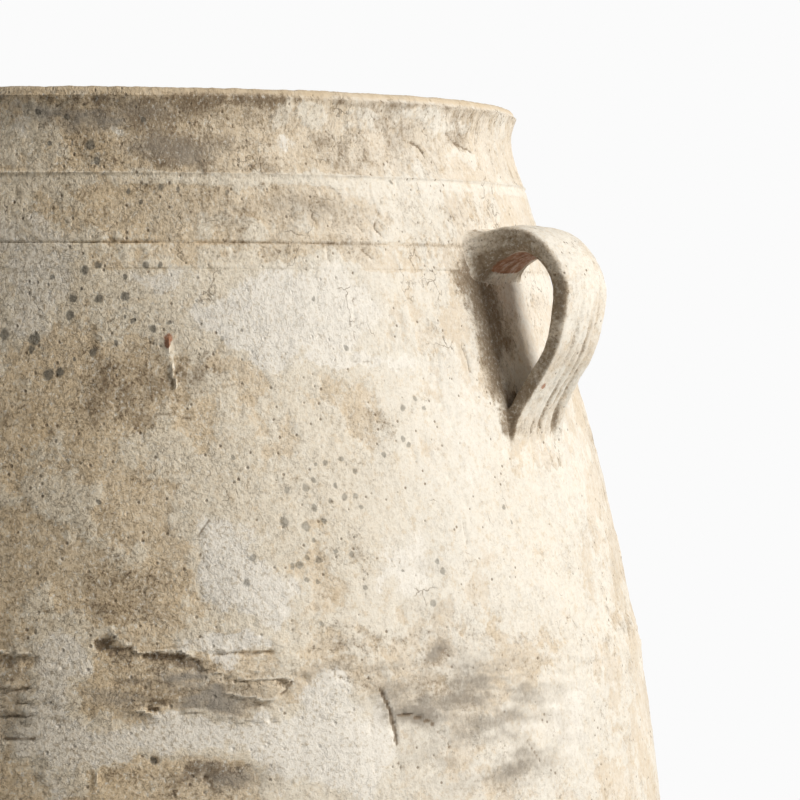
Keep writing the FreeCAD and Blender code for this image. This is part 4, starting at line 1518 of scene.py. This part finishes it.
class JAR_OT_mouth(bpy.types.Operator):
    """Throws the neck with its tooled line, and the rim with its lip"""

    bl_idname = "jar.mouth"
    bl_label = "Neck and rim"

    def execute(self, context):
        shape = sizes()
        neck = [
            *outside_rows(NECK_SEAT, RIM_SEAT, shape.finest_row),
            *inside_rows(RIM_SEAT, NECK_SEAT, shape.inside_row),
        ]
        ring_piece("neck_ring", neck, "neck_band", "limewashed_clay")
        lip_radius = float(OUTSIDE(JAR_TOP - shape.lip_round))
        mouth_radius = float(INSIDE(JAR_TOP - shape.mouth_round))
        side = outside_rows(RIM_SEAT, JAR_TOP - shape.lip_round, shape.finest_row)
        outer = round_corner(lip_radius - shape.lip_round, shape.lip_round, 0, 90, 9)[1:]
        inner = round_corner(mouth_radius + shape.mouth_round, shape.mouth_round, 90, 180, 9)
        flat = np.linspace(outer[-1][0], inner[0][0], 9)[1:-1]
        crown = [*outer, *((radius, JAR_TOP, (0.0, 0.0, 1.0)) for radius in flat), *inner]
        lip = [(*point, 0.0, 1.0, 0.0) for point in crown]
        bore = inside_rows(JAR_TOP - shape.mouth_round - MM, RIM_SEAT, shape.inside_row / 3)
        ring_piece("rim", [*side, *lip, *bore], "rim_collar", "limewashed_clay")
        return {"FINISHED"}


class JAR_OT_handles(bpy.types.Operator):
    """Pulls the two strap handles and presses them onto the shoulder"""

    bl_idname = "jar.handles"
    bl_label = "Handles"

    def execute(self, context):
        shape = sizes()
        heights = np.linspace(NECK_SEAT - HANDLE_DROP, NECK_SEAT + HANDLE_TOP, 40)
        curve, slope, radius = np.polyfit(heights - NECK_SEAT, OUTSIDE(heights), 2)
        for name, side in (("right", 1), ("left", -1)):
            low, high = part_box(name + "_handle_strap")
            low, high = low - HANDLE_MARGIN, high + HANDLE_MARGIN
            steps = [round(length / shape.voxel) for length in high - low]
            ribbon = ribbon_object(name + "_ribbon", side)
            values = {
                "Ribbon": ribbon,
                "Low corner": low,
                "High corner": high,
                "Steps across": steps[0],
                "Steps along": steps[1],
                "Steps up": steps[2],
                "Join height": NECK_SEAT,
                "Wall radius": float(radius),
                "Wall slope": float(slope),
                "Wall curve": float(curve),
                "Blend": shape.handle_blend,
                "Finish": finish("handle_limewash"),
            }
            piece = plain_piece(name + "_handle", tree_named("pulled handle", pulled_handle_tree), values)
            bpy.data.objects.remove(ribbon)
            settled(piece, "handle_clay", name + "_handle_strap", name + "_handle_wad")
        return {"FINISHED"}


class JAR_OT_stage(bpy.types.Operator):
    """Sets the floor, the light and the camera"""

    bl_idname = "jar.stage"
    bl_label = "Stage"

    def execute(self, context):
        stage = stage_settings()
        scene = context.scene
        place, turn = camera_place(stage)
        lens = bpy.data.cameras.new("camera")
        lens.sensor_width = stage.sensor
        lens.lens = stage.focal_pixels / PICTURE_SIDE * stage.sensor
        camera = bpy.data.objects.new("camera", lens)
        camera.location = place
        camera.rotation_euler = turn
        scene.collection.objects.link(camera)
        scene.camera = camera
        scene.view_settings.view_transform = "Standard"
        self.light(scene, stage)
        self.surroundings(scene, stage)
        self.floor(scene, stage)
        return {"FINISHED"}

    def light(self, scene, stage):
        """One large soft light, right of the camera."""
        lamp = bpy.data.lights.new("key", "AREA")
        lamp.size = stage.key_side
        lamp.energy = stage.key_power
        lamp.color = stage.key_colour
        key = bpy.data.objects.new("key", lamp)
        turn = stage.camera_turn - math.pi / 2 + stage.key_turn
        level = math.cos(stage.key_rise)
        away = Vector((math.cos(turn) * level, math.sin(turn) * level, math.sin(stage.key_rise)))
        aim = Vector((0.0, 0.0, BELLY_SEAT))
        key.location = aim + away * stage.key_distance
        key.rotation_euler = away.to_track_quat("Z", "Y").to_euler()
        scene.collection.objects.link(key)

    def surroundings(self, scene, stage):
        """Light from all round, and a plain pale backdrop."""
        world = bpy.data.worlds.new("studio")
        world.use_nodes = True
        canvas = Canvas(world.node_tree)
        plain = world.node_tree.nodes["Background"]
        plain.inputs["Color"].default_value = (*stage.fill_colour, 1.0)
        plain.inputs["Strength"].default_value = stage.fill
        seen = canvas.node("ShaderNodeBackground")
        seen.inputs["Color"].default_value = (*stage.backdrop, 1.0)
        camera_ray = canvas.made("ShaderNodeLightPath", {}, output="Is Camera Ray")
        both = canvas.node("ShaderNodeMixShader")
        canvas.feed(both.inputs[0], camera_ray)
        canvas.feed(both.inputs[1], Field(canvas, plain.outputs[0]))
        canvas.feed(both.inputs[2], Field(canvas, seen.outputs[0]))
        canvas.feed(world.node_tree.nodes["World Output"].inputs["Surface"], Field(canvas, both.outputs[0]))
        scene.world = world

    def floor(self, scene, stage):
        """A plain pale disc."""
        mesh = bpy.data.meshes.new("floor")
        count = 96
        ring = [(math.cos(turn) * stage.floor_radius, math.sin(turn) * stage.floor_radius, 0.0)
                for turn in np.linspace(0, 2 * math.pi, count, endpoint=False)]
        mesh.from_pydata(ring, [], [list(range(count))])
        material, canvas, main = shader("pale_floor")
        place = canvas.made("ShaderNodeTexCoord", {}, output="Object")
        cloud = canvas.noise(place, 0.05, detail=4) * 0.12
        tone = canvas.mix(cloud, stage.floor_colour, stage.floor_shade)
        canvas.feed(main.inputs["Base Color"], tone)
        main.inputs["Roughness"].default_value = 0.9
        mesh.materials.append(material)
        floor = bpy.data.objects.new("floor", mesh)
        scene.collection.objects.link(floor)


OPERATORS = (JAR_OT_base, JAR_OT_walls, JAR_OT_seams, JAR_OT_mouth, JAR_OT_handles, JAR_OT_stage)


class JAR_PT_panel(bpy.types.Panel):
    """Lists the steps that build the jar"""

    bl_idname = "JAR_PT_panel"
    bl_label = "Olive jar"
    bl_space_type = "VIEW_3D"
    bl_region_type = "UI"
    bl_category = "Olive jar"

    def draw(self, context):
        for step in OPERATORS:
            self.layout.operator(step.bl_idname)
        for group in (context.scene.jar_sizes, context.scene.jar_colours, context.scene.jar_stage):
            for name in group.__annotations__:
                self.layout.prop(group, name)


GROUPS = {"jar_sizes": JarSizes, "jar_colours": JarColours, "jar_stage": StageSettings}


def register():
    """Makes the panel, the steps and the settings known."""
    for kind in (*GROUPS.values(), *OPERATORS, JAR_PT_panel):
        bpy.utils.register_class(kind)
    for name, group in GROUPS.items():
        setattr(bpy.types.Scene, name, bpy.props.PointerProperty(type=group))


def unregister():
    """Takes them away again."""
    for name in GROUPS:
        delattr(bpy.types.Scene, name)
    for kind in reversed((*GROUPS.values(), *OPERATORS, JAR_PT_panel)):
        bpy.utils.unregister_class(kind)


WALL = WallFinder()


def main():
    """Builds the jar and its stage."""
    register()
    for step in OPERATORS:
        group, name = step.bl_idname.split(".")
        getattr(getattr(bpy.ops, group), name)()
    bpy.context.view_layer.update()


if __name__ == "__main__":
    main()
